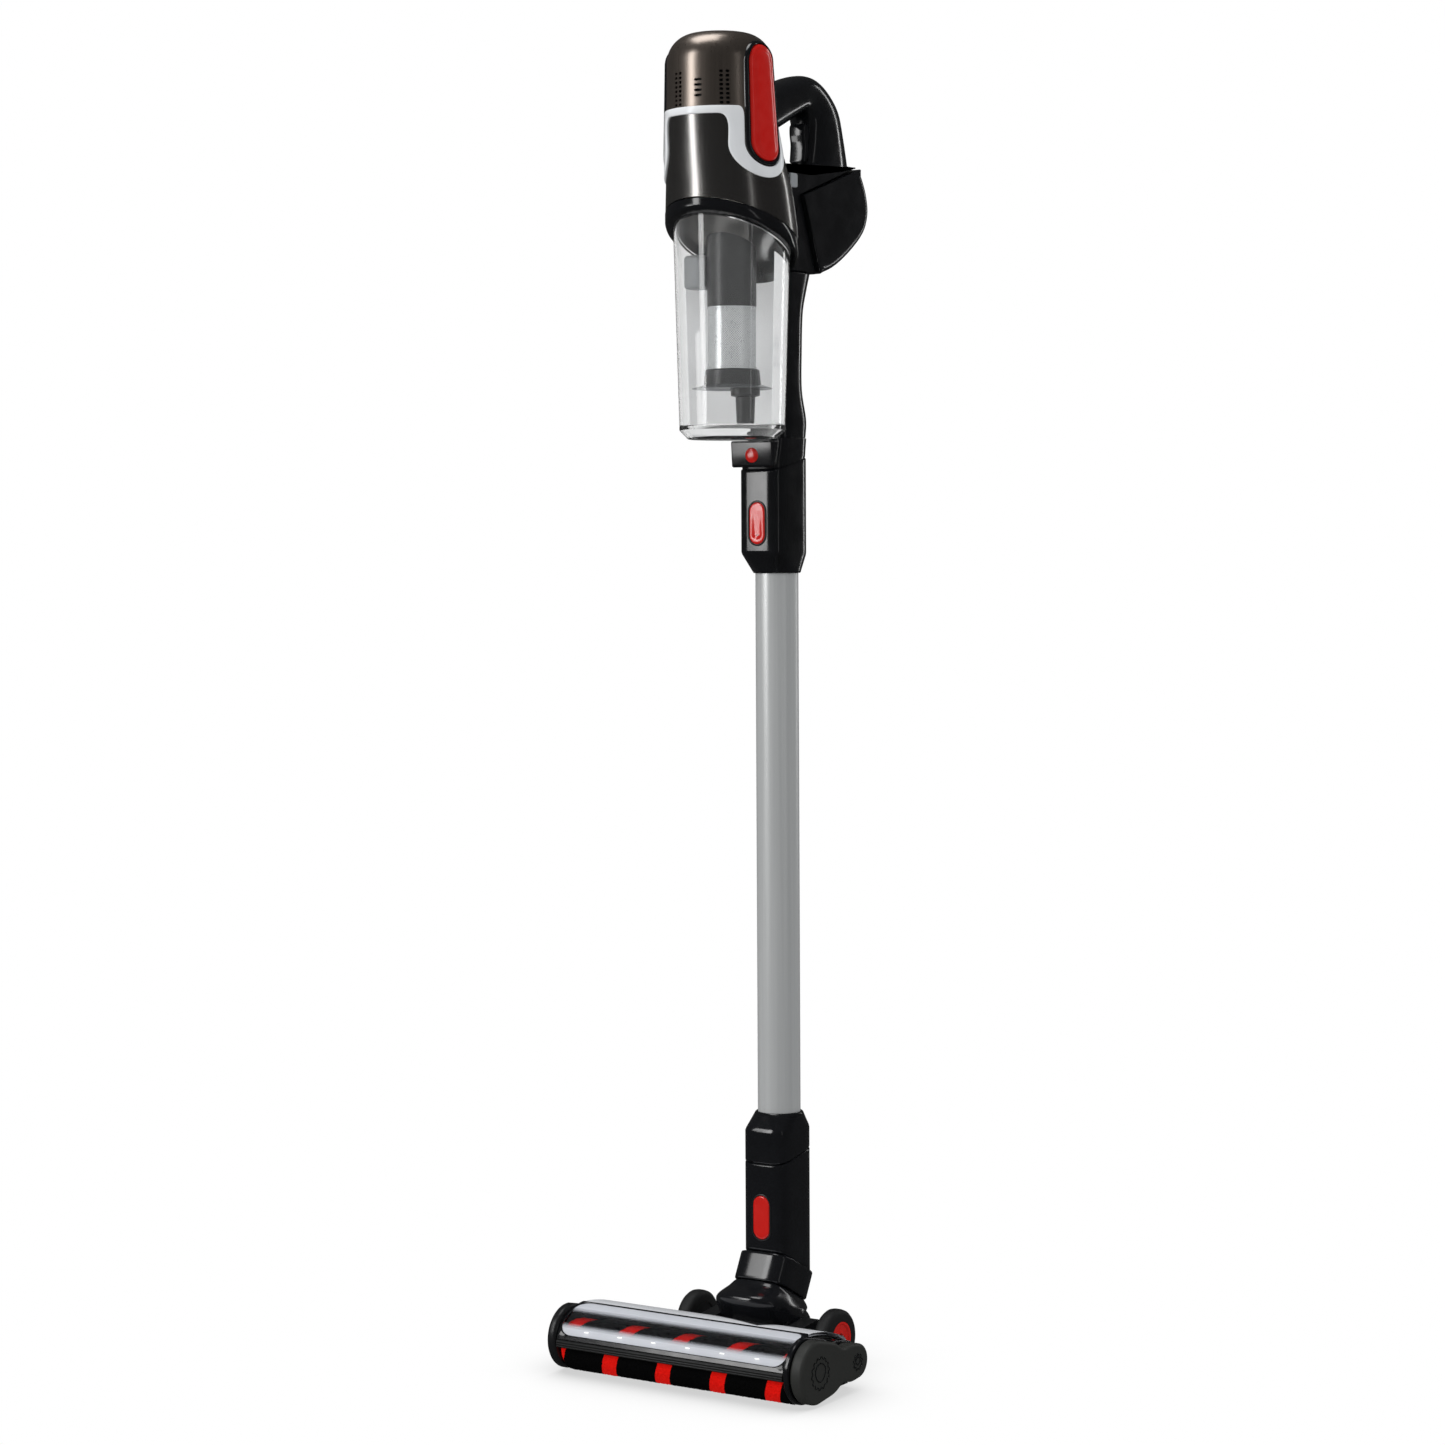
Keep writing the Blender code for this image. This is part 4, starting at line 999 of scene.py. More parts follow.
piece(
    "cyclone_skirt_and_stem",
    [turned(STEM, (0, CUP_Y, 0)), turned(FOOT, (9.0, CUP_Y + 6.0, 0))],
    "satin_black",
    "dust_container",
    ("cyclone_stem",),
    sharp=30,
)
skirt = [(23.9, 824.6), (33.5, 821.4), (33.5, 820.9), (23.9, 823.6)]
piece(
    "skirt_flange",
    [turned(skirt, (0, CUP_Y, 0), closed=True)],
    "smoke",
    "dust_container",
)
merged_copy("inlet_duct", "mid_grey", "dust_container", 1.2)

# %% [markdown]
# ## Spine, neck and the sockets
# The duct behind the cup is a hollow rounded-square tube that flares at its foot
# and under the handle. The neck and the two wand sockets are cut across by
# sloping seams, so their end rings lean; a small bevel catches the light there.

# %% Spine and neck
TUBE_Y, TUBE_R, TUBE_WALL = 24.7, 18.25, 1.4
SPINE = [
    (782.2, 7.9, 49.2, 19.5), (798, 7.7, 49.7, 20.0), (823, 7.7, 46.7, 17.2),
    (855, 7.7, 47.4, 16.8), (887, 7.7, 49.0, 17.0), (905, 7.7, 54.7, 17.0),
    (921.4, 7.7, 61.4, 17.0),
]
rings = [
    ring((front + rear) / 2, z, half, (rear - front) / 2, 3.4) for z, front, rear, half in SPINE
]
piece(
    "spine_moulding",
    [surface(through(rings))],
    "gloss_black",
    "handheld",
    ("spine_duct",),
    0.6,
)
NECK_Y = 20.2
neck = [
    ring(TUBE_Y, 713.0, 16.6, 16.6),
    ring(TUBE_Y, 762.0, 16.6, 16.6),
    ring(NECK_Y + 0.3, 761.2, 21.4, 25.0, 4.0, 0.24),
    ring(NECK_Y + 0.3, 763.6, 21.5, 25.2, 4.0, 0.22),
    ring(23.6, 773.0, 20.5, 24.0, 4.0, 0.1),
    ring(26.4, 781.9, 19.6, 23.2, 4.0),
]
piece(
    "neck_block",
    [surface(supported(neck))],
    "gloss_black",
    "handheld",
    ("neck",),
    0.4,
)

# %% Wand sockets and tube
TUBE_LOW, TUBE_TOP = 196.2, 700.4
tube = [(TUBE_R - TUBE_WALL, TUBE_LOW), (TUBE_R, TUBE_LOW)]
tube += [(TUBE_R, z) for z in np.linspace(230, 670, 8)]
tube += [(TUBE_R, TUBE_TOP), (TUBE_R - TUBE_WALL, TUBE_TOP)]
piece(
    "anodised_tube",
    [turned(tube, (0, TUBE_Y, 0), closed=True)],
    "aluminium",
    "wand",
    ("wand_tube",),
)


def hollow(rings, bore, low, high, slope_high=0.0, slope_low=0.0, centre=TUBE_Y):
    """Outer rings closed by a round bore between two leaning ends."""
    top = ring(TUBE_Y, high + slope_high * (TUBE_Y - centre), bore, bore, 2.0, slope_high)
    foot = ring(TUBE_Y, low + slope_low * (TUBE_Y - centre), bore, bore, 2.0, slope_low)
    return surface(np.concatenate([supported(rings), [top, foot]]), wrap_rows=True)


HALF_X, HALF_Y, SQUARE = 21.5, 25.5, 4.5
LOW_Y = TUBE_Y - 3
upper_rings = [
    ring(TUBE_Y, 668.0, 19.6, 19.6),
    ring(TUBE_Y, 668.9, 20.3, 20.3),
    ring(NECK_Y + 0.6, 683.6, HALF_X - 0.3, HALF_Y - 0.6, SQUARE),
    ring(NECK_Y, 686.0, HALF_X, HALF_Y, SQUARE),
    ring(NECK_Y, 759.4, HALF_X, HALF_Y, SQUARE, 0.24),
    ring(NECK_Y, 760.6, HALF_X - 0.9, HALF_Y - 0.9, SQUARE, 0.24),
]
piece(
    "upper_socket",
    [hollow(upper_rings, 18.6, 668.0, 760.6, 0.24, 0, NECK_Y)],
    "gloss_black",
    "wand",
    ("wand_upper_socket",),
    sharp=60,
)
lower_rings = [
    ring(LOW_Y, 172.4, HALF_X - 0.8, HALF_Y - 0.8, SQUARE, 0.214),
    ring(LOW_Y, 173.4, HALF_X, HALF_Y, SQUARE, 0.214),
    ring(LOW_Y, 194.0, HALF_X, HALF_Y, SQUARE),
    ring(TUBE_Y - 2.6, 196.4, HALF_X - 0.4, HALF_Y - 0.5, 4.2),
    ring(TUBE_Y, 208.2, 20.5, 20.5),
    ring(TUBE_Y, 209.0, 19.6, 19.6),
]
spigot = turned(
    [(16.6, 196.0), (16.6, 130.6), (16.0, 130.0), (14.5, 130.0), (14.5, 196.0)], (0, TUBE_Y, 0)
)
piece(
    "lower_socket",
    [hollow(lower_rings, 18.6, 172.4, 209.0, 0, 0.214, LOW_Y), spigot],
    "gloss_black",
    "wand",
    ("wand_lower_socket",),
    sharp=60,
)
TILT = math.radians(27.0)
COLLAR_Y, COLLAR_Z, COLLAR_HALF = 15.0, 68.5, 12.5


def plane_height(y, offset):
    """The height at y of a plane square to the swivel's axis, offset along it."""
    return COLLAR_Z + offset / math.cos(TILT) - math.tan(TILT) * (y - COLLAR_Y)


foot_z = plane_height(LOW_Y, COLLAR_HALF + 0.3)
foot_slope = -math.tan(TILT)
head_rings = [
    ring(LOW_Y, foot_z, HALF_X - 1.0, HALF_Y - 1.0, SQUARE, foot_slope),
    ring(LOW_Y, foot_z + 1.4, HALF_X, HALF_Y, SQUARE, foot_slope),
    ring(LOW_Y, 140.0, HALF_X, HALF_Y, SQUARE, 0.05),
    ring(LOW_Y, 170.9, HALF_X, HALF_Y, SQUARE, 0.214),
    ring(LOW_Y, 171.8, HALF_X - 0.8, HALF_Y - 0.8, SQUARE, 0.214),
]
piece(
    "head_neck_tube",
    [hollow(head_rings, 17.0, foot_z, 171.8, 0.214, foot_slope, LOW_Y)],
    "gloss_black",
    "swivel_neck",
    ("head_connector",),
    sharp=60,
)

# %% [markdown]
# ## Release buttons
# The two wand buttons are ovals in a black surround. The upper one has a round
# thumb dimple near its foot. The surround is a thin raised ring, so the button
# reads as set into the socket.


# %% Oval and round buttons
def oval(front, z, width, height, steps, dimple=0.0):
    """Nested stadia facing -Y; each (inset, proud) pair is one ring, dimpled by a bell curve."""
    rings = []
    for inset, proud in steps:
        x, up = stadium(width - 2 * inset, height - 2 * inset, (0, z)).T
        bell = np.exp(
            -((x**2 + (up - (z - height / 2 + width * 0.62)) ** 2) / (width * 0.3) ** 2) ** 2
        )
        rings.append(np.stack([x, front - proud + dimple * bell * (proud > 0.5), up], -1))
    return np.stack(rings)


def oval_button(name, body, node, front, z, width, height, dimple):
    """A domed oval with a fine step round its edge."""
    half = width / 2
    steps = [(half, -3.6), (0, -3.6), (0, 0.1), (0.3, 0.5), (0.9, 0.8)]
    steps += [(inset, 0.85 + 0.2 * min(1, inset / half)) for inset in np.linspace(1.4, half, 12)]
    rings = oval(front, z, width, height, steps, dimple)
    return piece(name, [surface(rings, caps=False)], "red", body, (node,))


def surround(name, body, front, z, width, height):
    """A raised lip round an oval button."""
    steps = [(0, -2.5), (0, 0.25), (0.35, 0.5), (1.1, 0.5), (1.5, 0.1), (1.5, -2.5)]
    rings = oval(front, z, width, height, steps)
    return piece(name, [surface(rings, wrap_rows=True)], "satin_black", body)


upper_front, head_front = NECK_Y - HALF_Y, LOW_Y - HALF_Y
oval_button("wand_button_cap", "wand_release", "wand_button", upper_front, 710.0, 15.2, 35.2, 1.1)
surround("wand_button_surround", "wand", upper_front, 710.0, 18.4, 38.4)
oval_button("head_button_cap", "head_release", "head_button", head_front, 121.0, 16.2, 37.2, 0.35)
surround("head_button_surround", "swivel_neck", head_front, 121.0, 19.4, 40.4)
round_profile = [
    (0, -14.9), (3.0, -14.85), (5.2, -14.4), (6.1, -13.7), (6.4, -13.0), (6.4, -11.0), (0, -11.0)
]
piece(
    "round_button_cap",
    [turned(round_profile, (0, 0, 767.0), "Y", 64)],
    "red",
    "lid_release",
    ("round_button",),
)
catch_outline = rounded(
    [(-14.0, 779.1), (-12.4, 757.2), (-9.6, 756.8), (-6.3, 765.0), (-4.0, 773.0), (-3.2, 779.1)],
    2.0,
)
piece(
    "lid_catch_block",
    [plate(catch_outline, (-21, 21), 1.6)],
    "gloss_black",
    "lid",
    ("lid_catch",),
)

# %% [markdown]
# ## Handle, trigger and battery
# The grip is a closed loop. The upper part is a rounded tube that leaves the
# housing, turns over and widens into the grip, so it is a loft between matched
# inner and outer contours. The lower body and the battery are thick plates
# with well-rounded edges, parted by a sloping seam.

# %% Seam and outline helpers
SEAM_FOOT, SEAM_TURN, SEAM_TOP = np.array([(62.0, 921.2), (36.5, 987.0), (127.5, 1017.5)])


def off_seam(outline, full, fine):
    """A fillet for each point: fine where it lies on the battery's seam, full away from it."""
    gap = np.full(len(outline), 1e9)
    for start, end in ((SEAM_FOOT, SEAM_TURN), (SEAM_TURN, SEAM_TOP)):
        run = end - start
        share = np.clip((outline - start) @ run / (run @ run), 0, 1)
        gap = np.minimum(gap, np.linalg.norm(outline - start - share[:, None] * run, axis=1))
    return fine + (full - fine) * np.clip((gap - 1.2) / 7.0, 0, 1)


def refined(outline, step):
    """Points added along each edge so that none is longer than a step."""
    after = np.roll(outline, -1, 0)
    pieces = [
        a + (b - a) * np.linspace(
            0, 1, max(2, int(np.ceil(np.linalg.norm(b - a) / step)) + 1)
        )[:-1, None]
        for a, b in zip(outline, after)
    ]
    return np.concatenate(pieces)


# %% Handle loop
INNER = [
    (-26, 1020), (-8, 1028.4), (8, 1036), (24, 1043.4), (40, 1050.6), (54, 1057),
    (60, 1056.5), (64.2, 1051), (64.6, 1040), (63.6, 1028), (61.5, 1016), (58, 1008),
]
OUTER = [
    (-26, 1062), (-10, 1067.8), (7, 1074), (24, 1080.6), (42, 1086.6), (61, 1090),
    (78, 1087.4), (96, 1078), (111, 1064), (119.6, 1042), (124.5, 1027), (127.5, 1017.6),
]
inner_line, outer_line = through(INNER, 8), through(OUTER, 8)
middle, reach = (inner_line + outer_line) / 2, (outer_line - inner_line) / 2
cosine, sine = np.cos(AROUND), np.sin(AROUND)
GRIP_HALF, GRIP_POWER = 17.0, 2.5
round_x = GRIP_HALF * np.sign(cosine) * np.abs(cosine) ** (2 / GRIP_POWER)
round_out = np.sign(sine) * np.abs(sine) ** (2 / GRIP_POWER)
flat = middle[:, None] + reach[:, None] * round_out[None, :, None]
loop = np.concatenate([np.broadcast_to(round_x[None, :, None], (*flat.shape[:2], 1)), flat], -1)
LOWER_BODY = [
    (127.3, 1017.2), (36.6, 986.6), (61.9, 921.4), (8.0, 921.4), (6.0, 960), (2, 990),
    (-4, 1010.8), (56, 1010.8), (64, 1016.4), (96, 1018.4),
]
BODY_HALF, BATTERY_HALF, SEAM_FILLET = 17, 21, 0.6
body_outline = refined(rounded(LOWER_BODY, 2.0), 3.0)
lower_body = plate(body_outline, (-BODY_HALF, BODY_HALF), off_seam(body_outline, 5.0, SEAM_FILLET))
handle = piece(
    "handle_loop_and_body",
    [surface(loop), lower_body],
    "gloss_black",
    "handheld",
    ("handle_frame",),
    sharp=50,
)

# %% Battery, trigger and small controls
BACK = [
    (129, 1016.2), (136, 1006), (141.8, 993), (143.6, 978), (136.5, 961.5), (117.4, 945.6),
    (91.2, 930.2), (68, 922.2),
]
BATTERY = np.concatenate([through(BACK, 6), [(63.4, 923.0), (38.2, 986.2)]])
battery_outline = refined(rounded(BATTERY, 1.2, 2), 3.0)
battery_body = plate(
    battery_outline, (-BATTERY_HALF, BATTERY_HALF), off_seam(battery_outline, 6.5, SEAM_FILLET)
)
piece("battery_case", [battery_body], "gloss_black", "battery", ("battery_pack",))
TRIGGER = [
    (58.2, 1050), (57.5, 1042), (59.6, 1032), (58.4, 1022), (57.6, 1016), (71.5, 1016), (71.5, 1050)
]
piece(
    "trigger_blade",
    [plate(rounded(TRIGGER, 3.5), (-8.2, 8.2), 3.0)],
    "gloss_black",
    "trigger_body",
    ("trigger",),
)
mode_key = merged_copy("mode_button", "satin_black", "mode_key")
key_points = np.empty(len(mode_key.data.vertices) * 3)
mode_key.data.vertices.foreach_get("co", key_points)
key_points = key_points.reshape(-1, 3) / MM
key_middle = (key_points.min(0) + key_points.max(0)) / 2
key_faces = [list(polygon.vertices) for polygon in mode_key.data.polygons]
# the handle has room for the key both at rest and pressed in
MODE_PRESS, MODE_TRAVEL, MODE_ROOM = np.array((0, -0.784, -0.621)), 1.6, 1.08
for shift in (0.0, MODE_TRAVEL):
    key_room = key_middle + (key_points - key_middle) * MODE_ROOM + MODE_PRESS * shift
    cut(handle, [(key_room, key_faces)])

catch = rounded([(20, 992), (31, 992), (31, 1004), (20, 1004)], 2.5)
for side, sign in (("left", -1), ("right", 1)):
    span = sorted((sign * 15.5, sign * 18.8))
    piece(
        f"{side}_catch_key",
        [plate(catch, span, 0.9)],
        "mid_grey",
        f"{side}_catch",
        (f"{side}_battery_catch",),
    )


def dome(centre, normal, radius, height):
    """A low dome: circles that shrink as the cosine while they rise as the sine."""
    normal = np.asarray(normal, float) / np.linalg.norm(normal)
    across = np.cross(normal, (0, 1.0, 0.01))
    across /= np.linalg.norm(across)
    other = np.cross(normal, across)
    angle = np.linspace(0, 2 * np.pi, 20, endpoint=False)
    rise = np.radians([0, 0, 30, 55, 75, 86])
    up = np.sin(rise) * height
    up[0] = -0.8
    circle = np.cos(angle)[:, None] * across + np.sin(angle)[:, None] * other
    return surface(
        np.asarray(centre)
        + circle[None]
        * (radius * np.cos(rise))[:, None, None]
        + normal
        * up[:, None, None]
    )


LAMP_X, LAMP_FACING = 4.0, (0.1, 0.45, 0.9)
CHARGE_LAMPS = [(80.0, 1086.2), (86.5, 1083.4), (92.8, 1080.0), (98.8, 1075.8)]
domes = [dome((LAMP_X, y, z), LAMP_FACING, 1.5, 1.0) for y, z in CHARGE_LAMPS]
piece("charge_lamps", domes, "mid_grey", "handheld")

# %% [markdown]
# ## Neck of the floor head
# A rounded-square collar turns on the leaning swivel axis. Below it the elbow
# bulges like a knee and narrows into the drum on the pitch axis.


# %% Collar and elbow
def leaning(offset, half_x, half_y, power=4.0):
    """A superellipse in a plane square to the swivel's axis."""
    flat = ring(0, 0, half_x, half_y, power)
    y = COLLAR_Y + offset * math.sin(TILT) + flat[:, 1] * math.cos(TILT)
    z = COLLAR_Z + offset * math.cos(TILT) - flat[:, 1] * math.sin(TILT)
    return np.stack([flat[:, 0], y, z], -1)


collar = [
    leaning(-COLLAR_HALF, 24.5, 27.5),
    leaning(-12.0, 25.5, 28.5),
    leaning(-11.0, 26, 29),
    leaning(10.6, 26, 29),
    leaning(11.8, 25.6, 28.6),
    leaning(COLLAR_HALF, 24.2, 27.2),
]
piece(
    "swivel_collar_block",
    [surface(supported(collar))],
    "gloss_black",
    "swivel_neck",
    ("swivel_collar",),
    sharp=60,
)
knee = [
    leaning(-12.8, 24.0, 27.0),
    leaning(-14.4, 26.0, 28.8, 3.8),
    leaning(-19.0, 30.0, 31.6, 3.3),
    ring(-5.6, 47.0, 34.2, 33.6, 2.9, -0.36),
    ring(-3.6, 38.0, 34.4, 31.0, 2.8, -0.20),
    ring(-1.0, 29.0, 34.0, 25.0, 2.8, -0.06),
    ring(1.2, 20.0, 33.0, 19.0, 2.8),
]
AXLE_Y, WHEEL_R = 1.4, 25.0
drum = turned(
    [(0, -34), (20.6, -34), (21.5, -33), (21.5, 33), (20.6, 34), (0, 34)], (0, AXLE_Y, WHEEL_R), "X"
)
pins = turned([(0, -44), (6, -44), (6, 44), (0, 44)], (0, AXLE_Y, WHEEL_R), "X", 48)
piece(
    "elbow_knee",
    [surface(through(knee)), drum, pins],
    "gloss_black",
    "elbow_body",
    ("elbow",),
    sharp=50,
)

# %% [markdown]
# ## Floor head
# A black frame holds a milky window with rounded corners over the roller. The
# window's section is a quarter ellipse, so the frame and the pane are both that
# curve carried along X; the frame's hole is a rounded rectangle on it.

# %% Window frame and pane
HEAD_HALF = 113.0


def on_window(x, turn, offset=0.0):
    """A point on the window: x along the head and an angle round the quarter ellipse."""
    x, turn, offset = np.broadcast_arrays(x, turn, offset)
    a = np.radians(turn)
    y = WINDOW_Y + (WINDOW_REACH + offset) * np.cos(a)
    z = WINDOW_Z + (WINDOW_RISE + offset) * np.sin(a)
    return np.stack([x, y, z], -1)


def rounded_rectangle(half_x, half_y, radius, count=16):
    """Quarter circles at four corners, as points round the rectangle, straights filled in."""
    angle = np.linspace(0, np.pi / 2, count)
    quarter = np.stack([np.cos(angle), np.sin(angle)], -1) * radius
    points = []
    for turn, (sx, sy) in enumerate(((1, 1), (-1, 1), (-1, -1), (1, -1))):
        c, s = math.cos(turn * math.pi / 2), math.sin(turn * math.pi / 2)
        corner = quarter @ np.array([[c, s], [-s, c]])
        points.append(corner + np.array([sx * (half_x - radius), sy * (half_y - radius)]))
    closed = np.concatenate(points)
    after = np.roll(closed, -1, 0)
    t = np.linspace(0, 1, 8, endpoint=False)[None, :, None]
    return (closed[:, None] + (after - closed)[:, None] * t).reshape(-1, 2)


MID_TURN, HALF_TURN = 132.0, 39.0
ARC = np.array([1, 1.64])  # degrees of turn for each millimetre of the flat rectangle
outer_edge = rounded_rectangle(HEAD_HALF - 0.3, HALF_TURN / ARC[1], 0.6) * ARC
hole_edge = rounded_rectangle(111.4, 21.0, 11.0) * ARC - (0, 3.4)
frame_rings = []
for share_in, offset in ((0, -2.2), (0, 0.0), (0.06, 0.5), (0.85, 0.5), (1, 0.0), (1, -2.2)):
    flat = outer_edge + (hole_edge - outer_edge) * share_in
    frame_rings.append(on_window(flat[:, 0], MID_TURN + flat[:, 1], offset))
piece(
    "window_frame",
    [surface(frame_rings, wrap_rows=True)],
    "gloss_black",
    "floor_head",
    sharp=30,
)
turns = np.linspace(MID_TURN - 37.5, MID_TURN + 33.5, 40)[:, None]
spots = np.linspace(-112.2, 112.2, 30)[None]
top_sheet, under_sheet = on_window(spots, turns, -0.5), on_window(spots, turns[::-1], -1.9)
piece(
    "window_pane",
    [surface(np.concatenate([top_sheet, under_sheet]), wrap_rows=True, wrap_columns=False)],
    "frosted",
    "floor_head",
    ("roller_window",),
)
print("window arc:", round(math.radians(2 * HALF_TURN) * 35), "mm")

# %% Roller, lamps and bumper
ROLLER_HALF, PILE_GRID, TUFT = 111.5, (260, 180), 0.5
rng = np.random.default_rng(4)
along = np.linspace(-ROLLER_HALF, ROLLER_HALF, PILE_GRID[0])
angle = np.linspace(0, 2 * np.pi, PILE_GRID[1], endpoint=False)
pile = ROLLER_R - 0.55 + rng.uniform(-TUFT, TUFT, PILE_GRID)
pile[[0, -1]] -= 1.0
along = np.broadcast_to(along[:, None], pile.shape)
roll = np.stack([along, ROLLER_Y - pile * np.cos(angle), ROLLER_Z + pile * np.sin(angle)], -1)
piece(
    "plush_roller", [surface(roll)], "plush", "brush_roller", ("roller_sleeve",), sharp=180
)
LENS = rounded([(-140.4, 35.4), (-139.2, 35.4), (-139.2, 38.6), (-140.4, 38.6)], 0.4, 3)
LENS_HALF = 2.2
lamps = [plate(LENS, (x - LENS_HALF, x + LENS_HALF), 0.3, 2) for x in range(-85, 86, 34)]
piece("head_lamps", lamps, "lamp", "floor_head")
BUMPER = [
    (-142.0, 23.6), (-145.2, 23.6), (-146.1, 24.5), (-145.5, 25.5), (-146.1, 26.4),
    (-145.4, 27.4), (-146.0, 28.4), (-145.2, 29.6), (-144.0, 30.2), (-142.0, 30.2),
]
piece(
    "ridged_bumper",
    [plate(rounded(BUMPER, 0.5, 3), (-112.7, 112.7), 0.6, 3)],
    "rubber",
    "floor_head",
    ("front_bumper",),
    sharp=60,
)

# %% [markdown]
# ## Deck
# The pale deck carries on from the window's top edge, stays nearly level and
# then falls behind it, so its crown shows over the window. A smoked wedge is let into
# its right half.

# %% Crowned deck
CROWN = [
    (-105.6, 54.9), (-98, 54.5), (-88, 53.2), (-77, 51.0), (-66, 48.0), (-56, 44.2), (-48.6, 39.8)
]
crown = through(CROWN, 6)
fall = np.gradient(crown, axis=0)
normal = np.stack([-fall[:, 1], fall[:, 0]], -1) / np.linalg.norm(fall, axis=1, keepdims=True)


def deck_sheet(left, right, rows, above):
    """The crown curve moved out along its normal, then carried from left to right for each row."""
    line = crown[rows] + normal[rows] * above
    x = left[:, None] + (right - left)[:, None] * np.linspace(0, 1, 24)
    y, z = (np.broadcast_to(line[:, k, None], x.shape) for k in (0, 1))
    return np.stack([x, y, z], -1)


every = np.arange(len(crown))
wide = np.full(len(crown), 112.5)
layers = [deck_sheet(-wide, wide, every, 0.0), deck_sheet(-wide, wide, every[::-1], -2.2)]
piece(
    "crowned_deck",
    [surface(np.concatenate(layers), wrap_rows=True, wrap_columns=False)],
    "silver",
    "floor_head",
    ("head_top_deck",),
    0.3,
)
wedge = np.arange(4, 24)
left = np.linspace(58, -14, len(wedge))
right = np.linspace(60, 70, len(wedge))
layers = [
    deck_sheet(left, right, wedge, 0.3), deck_sheet(left[::-1], right[::-1], wedge[::-1], -0.2)
]
piece(
    "smoked_wedge",
    [surface(np.concatenate(layers), wrap_rows=True, wrap_columns=False)],
    "gloss_black",
    "floor_head",
)

# %% [markdown]
# ## End caps and the belt cover
# Both ends close the roller arch. The cover on the +X end hides the belt: its
# outline is a big lobe and a small one with a waist between, and two gear
# shapes are embossed on it as fine ridges.


# %% Caps and embossed gears
BIG_LOBE, SMALL_LOBE = (-119, 28.2, 27.2), (-57.5, 25.5, 15.5)  # y, z and radius
WAIST_Y, WAIST_Z, WAIST_WIDE = -80, 27, 9.0


def lobe(circle, angle, inset):
    """An arc of a circle, made smaller by inset."""
    y, z, radius = circle
    return np.stack(
        [y + (radius - inset) * np.cos(angle), z + (radius - inset) * np.sin(angle)], -1
    )


def lobes(inset, pinch):
    """Two circles joined by tangents, pulled in at the waist by a bell curve."""
    a = np.radians(np.linspace(88, 272, 60))
    b = np.radians(np.linspace(-88, 88, 40))
    big = lobe(BIG_LOBE, a, inset)
    small = lobe(SMALL_LOBE, b, inset)
    t = np.linspace(0, 1, 26)[1:-1, None]
    under = big[-1] + (small[0] - big[-1]) * t
    over = small[-1] + (big[0] - small[-1]) * t
    outline = np.concatenate([big, under, small, over])
    bell = np.exp(-(((outline[:, 0] - WAIST_Y) / WAIST_WIDE) ** 2))
    outline[:, 1] += np.where(outline[:, 1] > WAIST_Z, -1, 1) * pinch * bell
    return outline


def gear_ridge(centre, radius, teeth, x):
    """A closed ridge along a toothed circle: the radius steps with the sine of the tooth angle."""
    turn = np.linspace(0, 2 * np.pi, teeth * 16, endpoint=False)
    step = radius + 0.75 * np.tanh(3 * np.sin(teeth * turn))
    rows = [(-0.45, -0.3), (-0.45, 0.35), (0.0, 0.55), (0.45, 0.35), (0.45, -0.3)]
    rings = []
    for side, proud in rows:
        y = centre[0] + (step + side) * np.cos(turn)
        z = centre[1] + (step + side) * np.sin(turn)
        rings.append(np.stack([np.full_like(turn, x + proud), y, z], -1))
    return surface(np.stack(rings), wrap_rows=True)


START = HEAD_HALF + 0.3
COVER_FACE = START + 17.4
piece(
    "left_cap_moulding",
    [plate(lobes(0, 2.0), (-START - 9, -START), 3.0)],
    "satin_black",
    "floor_head",
    ("left_end_cap",),
)
piece(
    "right_cap_moulding",
    [plate(lobes(0, 2.0), (START, START + 5), 1.2)],
    "gloss_black",
    "floor_head",
    ("right_end_cap",),
)
piece(
    "belt_cover_moulding",
    [plate(lobes(1.2, 4.2), (START + 5.3, COVER_FACE), 3.0)],
    "dark_grey",
    "floor_head",
    ("belt_cover",),
)
BIG_GEAR, SMALL_GEAR = (-117, 27.5), (-60, 25.5)
GEARS = [(BIG_GEAR, 12.5, 14), (BIG_GEAR, 7.5, 1), (SMALL_GEAR, 6.0, 9), (SMALL_GEAR, 3.0, 1)]
gears = [gear_ridge(centre, radius, teeth, COVER_FACE) for centre, radius, teeth in GEARS]
piece("embossed_gears", gears, "gloss_black", "floor_head", sharp=60)

# %% [markdown]
# ## Wheels
# Each wheel is a soft tyre with rounded shoulders on a red hub that is dished
# on the outside, with a raised ring and a small axle cap.

# %% Tyres and hubs
TYRE = [
    (15.2, 76.7), (20.6, 76.7), (23.0, 76.0), (24.5, 74.2), (25.0, 71.6), (25.0, 67.8),
    (24.5, 65.2), (23.0, 63.4), (20.6, 62.7), (15.2, 62.7),
]
HUB = [
    (3.9, 74.6), (5.2, 75.8), (8.5, 74.6), (12.2, 75.2), (13.2, 76.6), (14.8, 76.6),
    (15.0, 76.0), (15.0, 64.2), (3.9, 64.2),
]
WEB = [(3.9, 63.4), (14.9, 63.4), (14.9, 64.1), (3.9, 64.1)]
for side, sign in (("left", -1), ("right", 1)):
    for label, profile, material in (
        ("tyre", TYRE, "tyre"), ("hub", HUB, "red"), ("web", WEB, "satin_black")
    ):
        rows = np.array(profile) * (1, sign)
        shape = turned(rows, (0, AXLE_Y, WHEEL_R), "X", closed=True)
        replaced = () if label == "web" else (f"{side}_{label}",)
        piece(f"{side}_{label}_ring", [shape], material, f"{side}_wheel", replaced)

# %% [markdown]
# ## Parts that keep their CAD shape
# The tray, the brackets and the machinery inside are right as they are. The
# ones that show get a merged, softly edged copy; the rest only change finish.

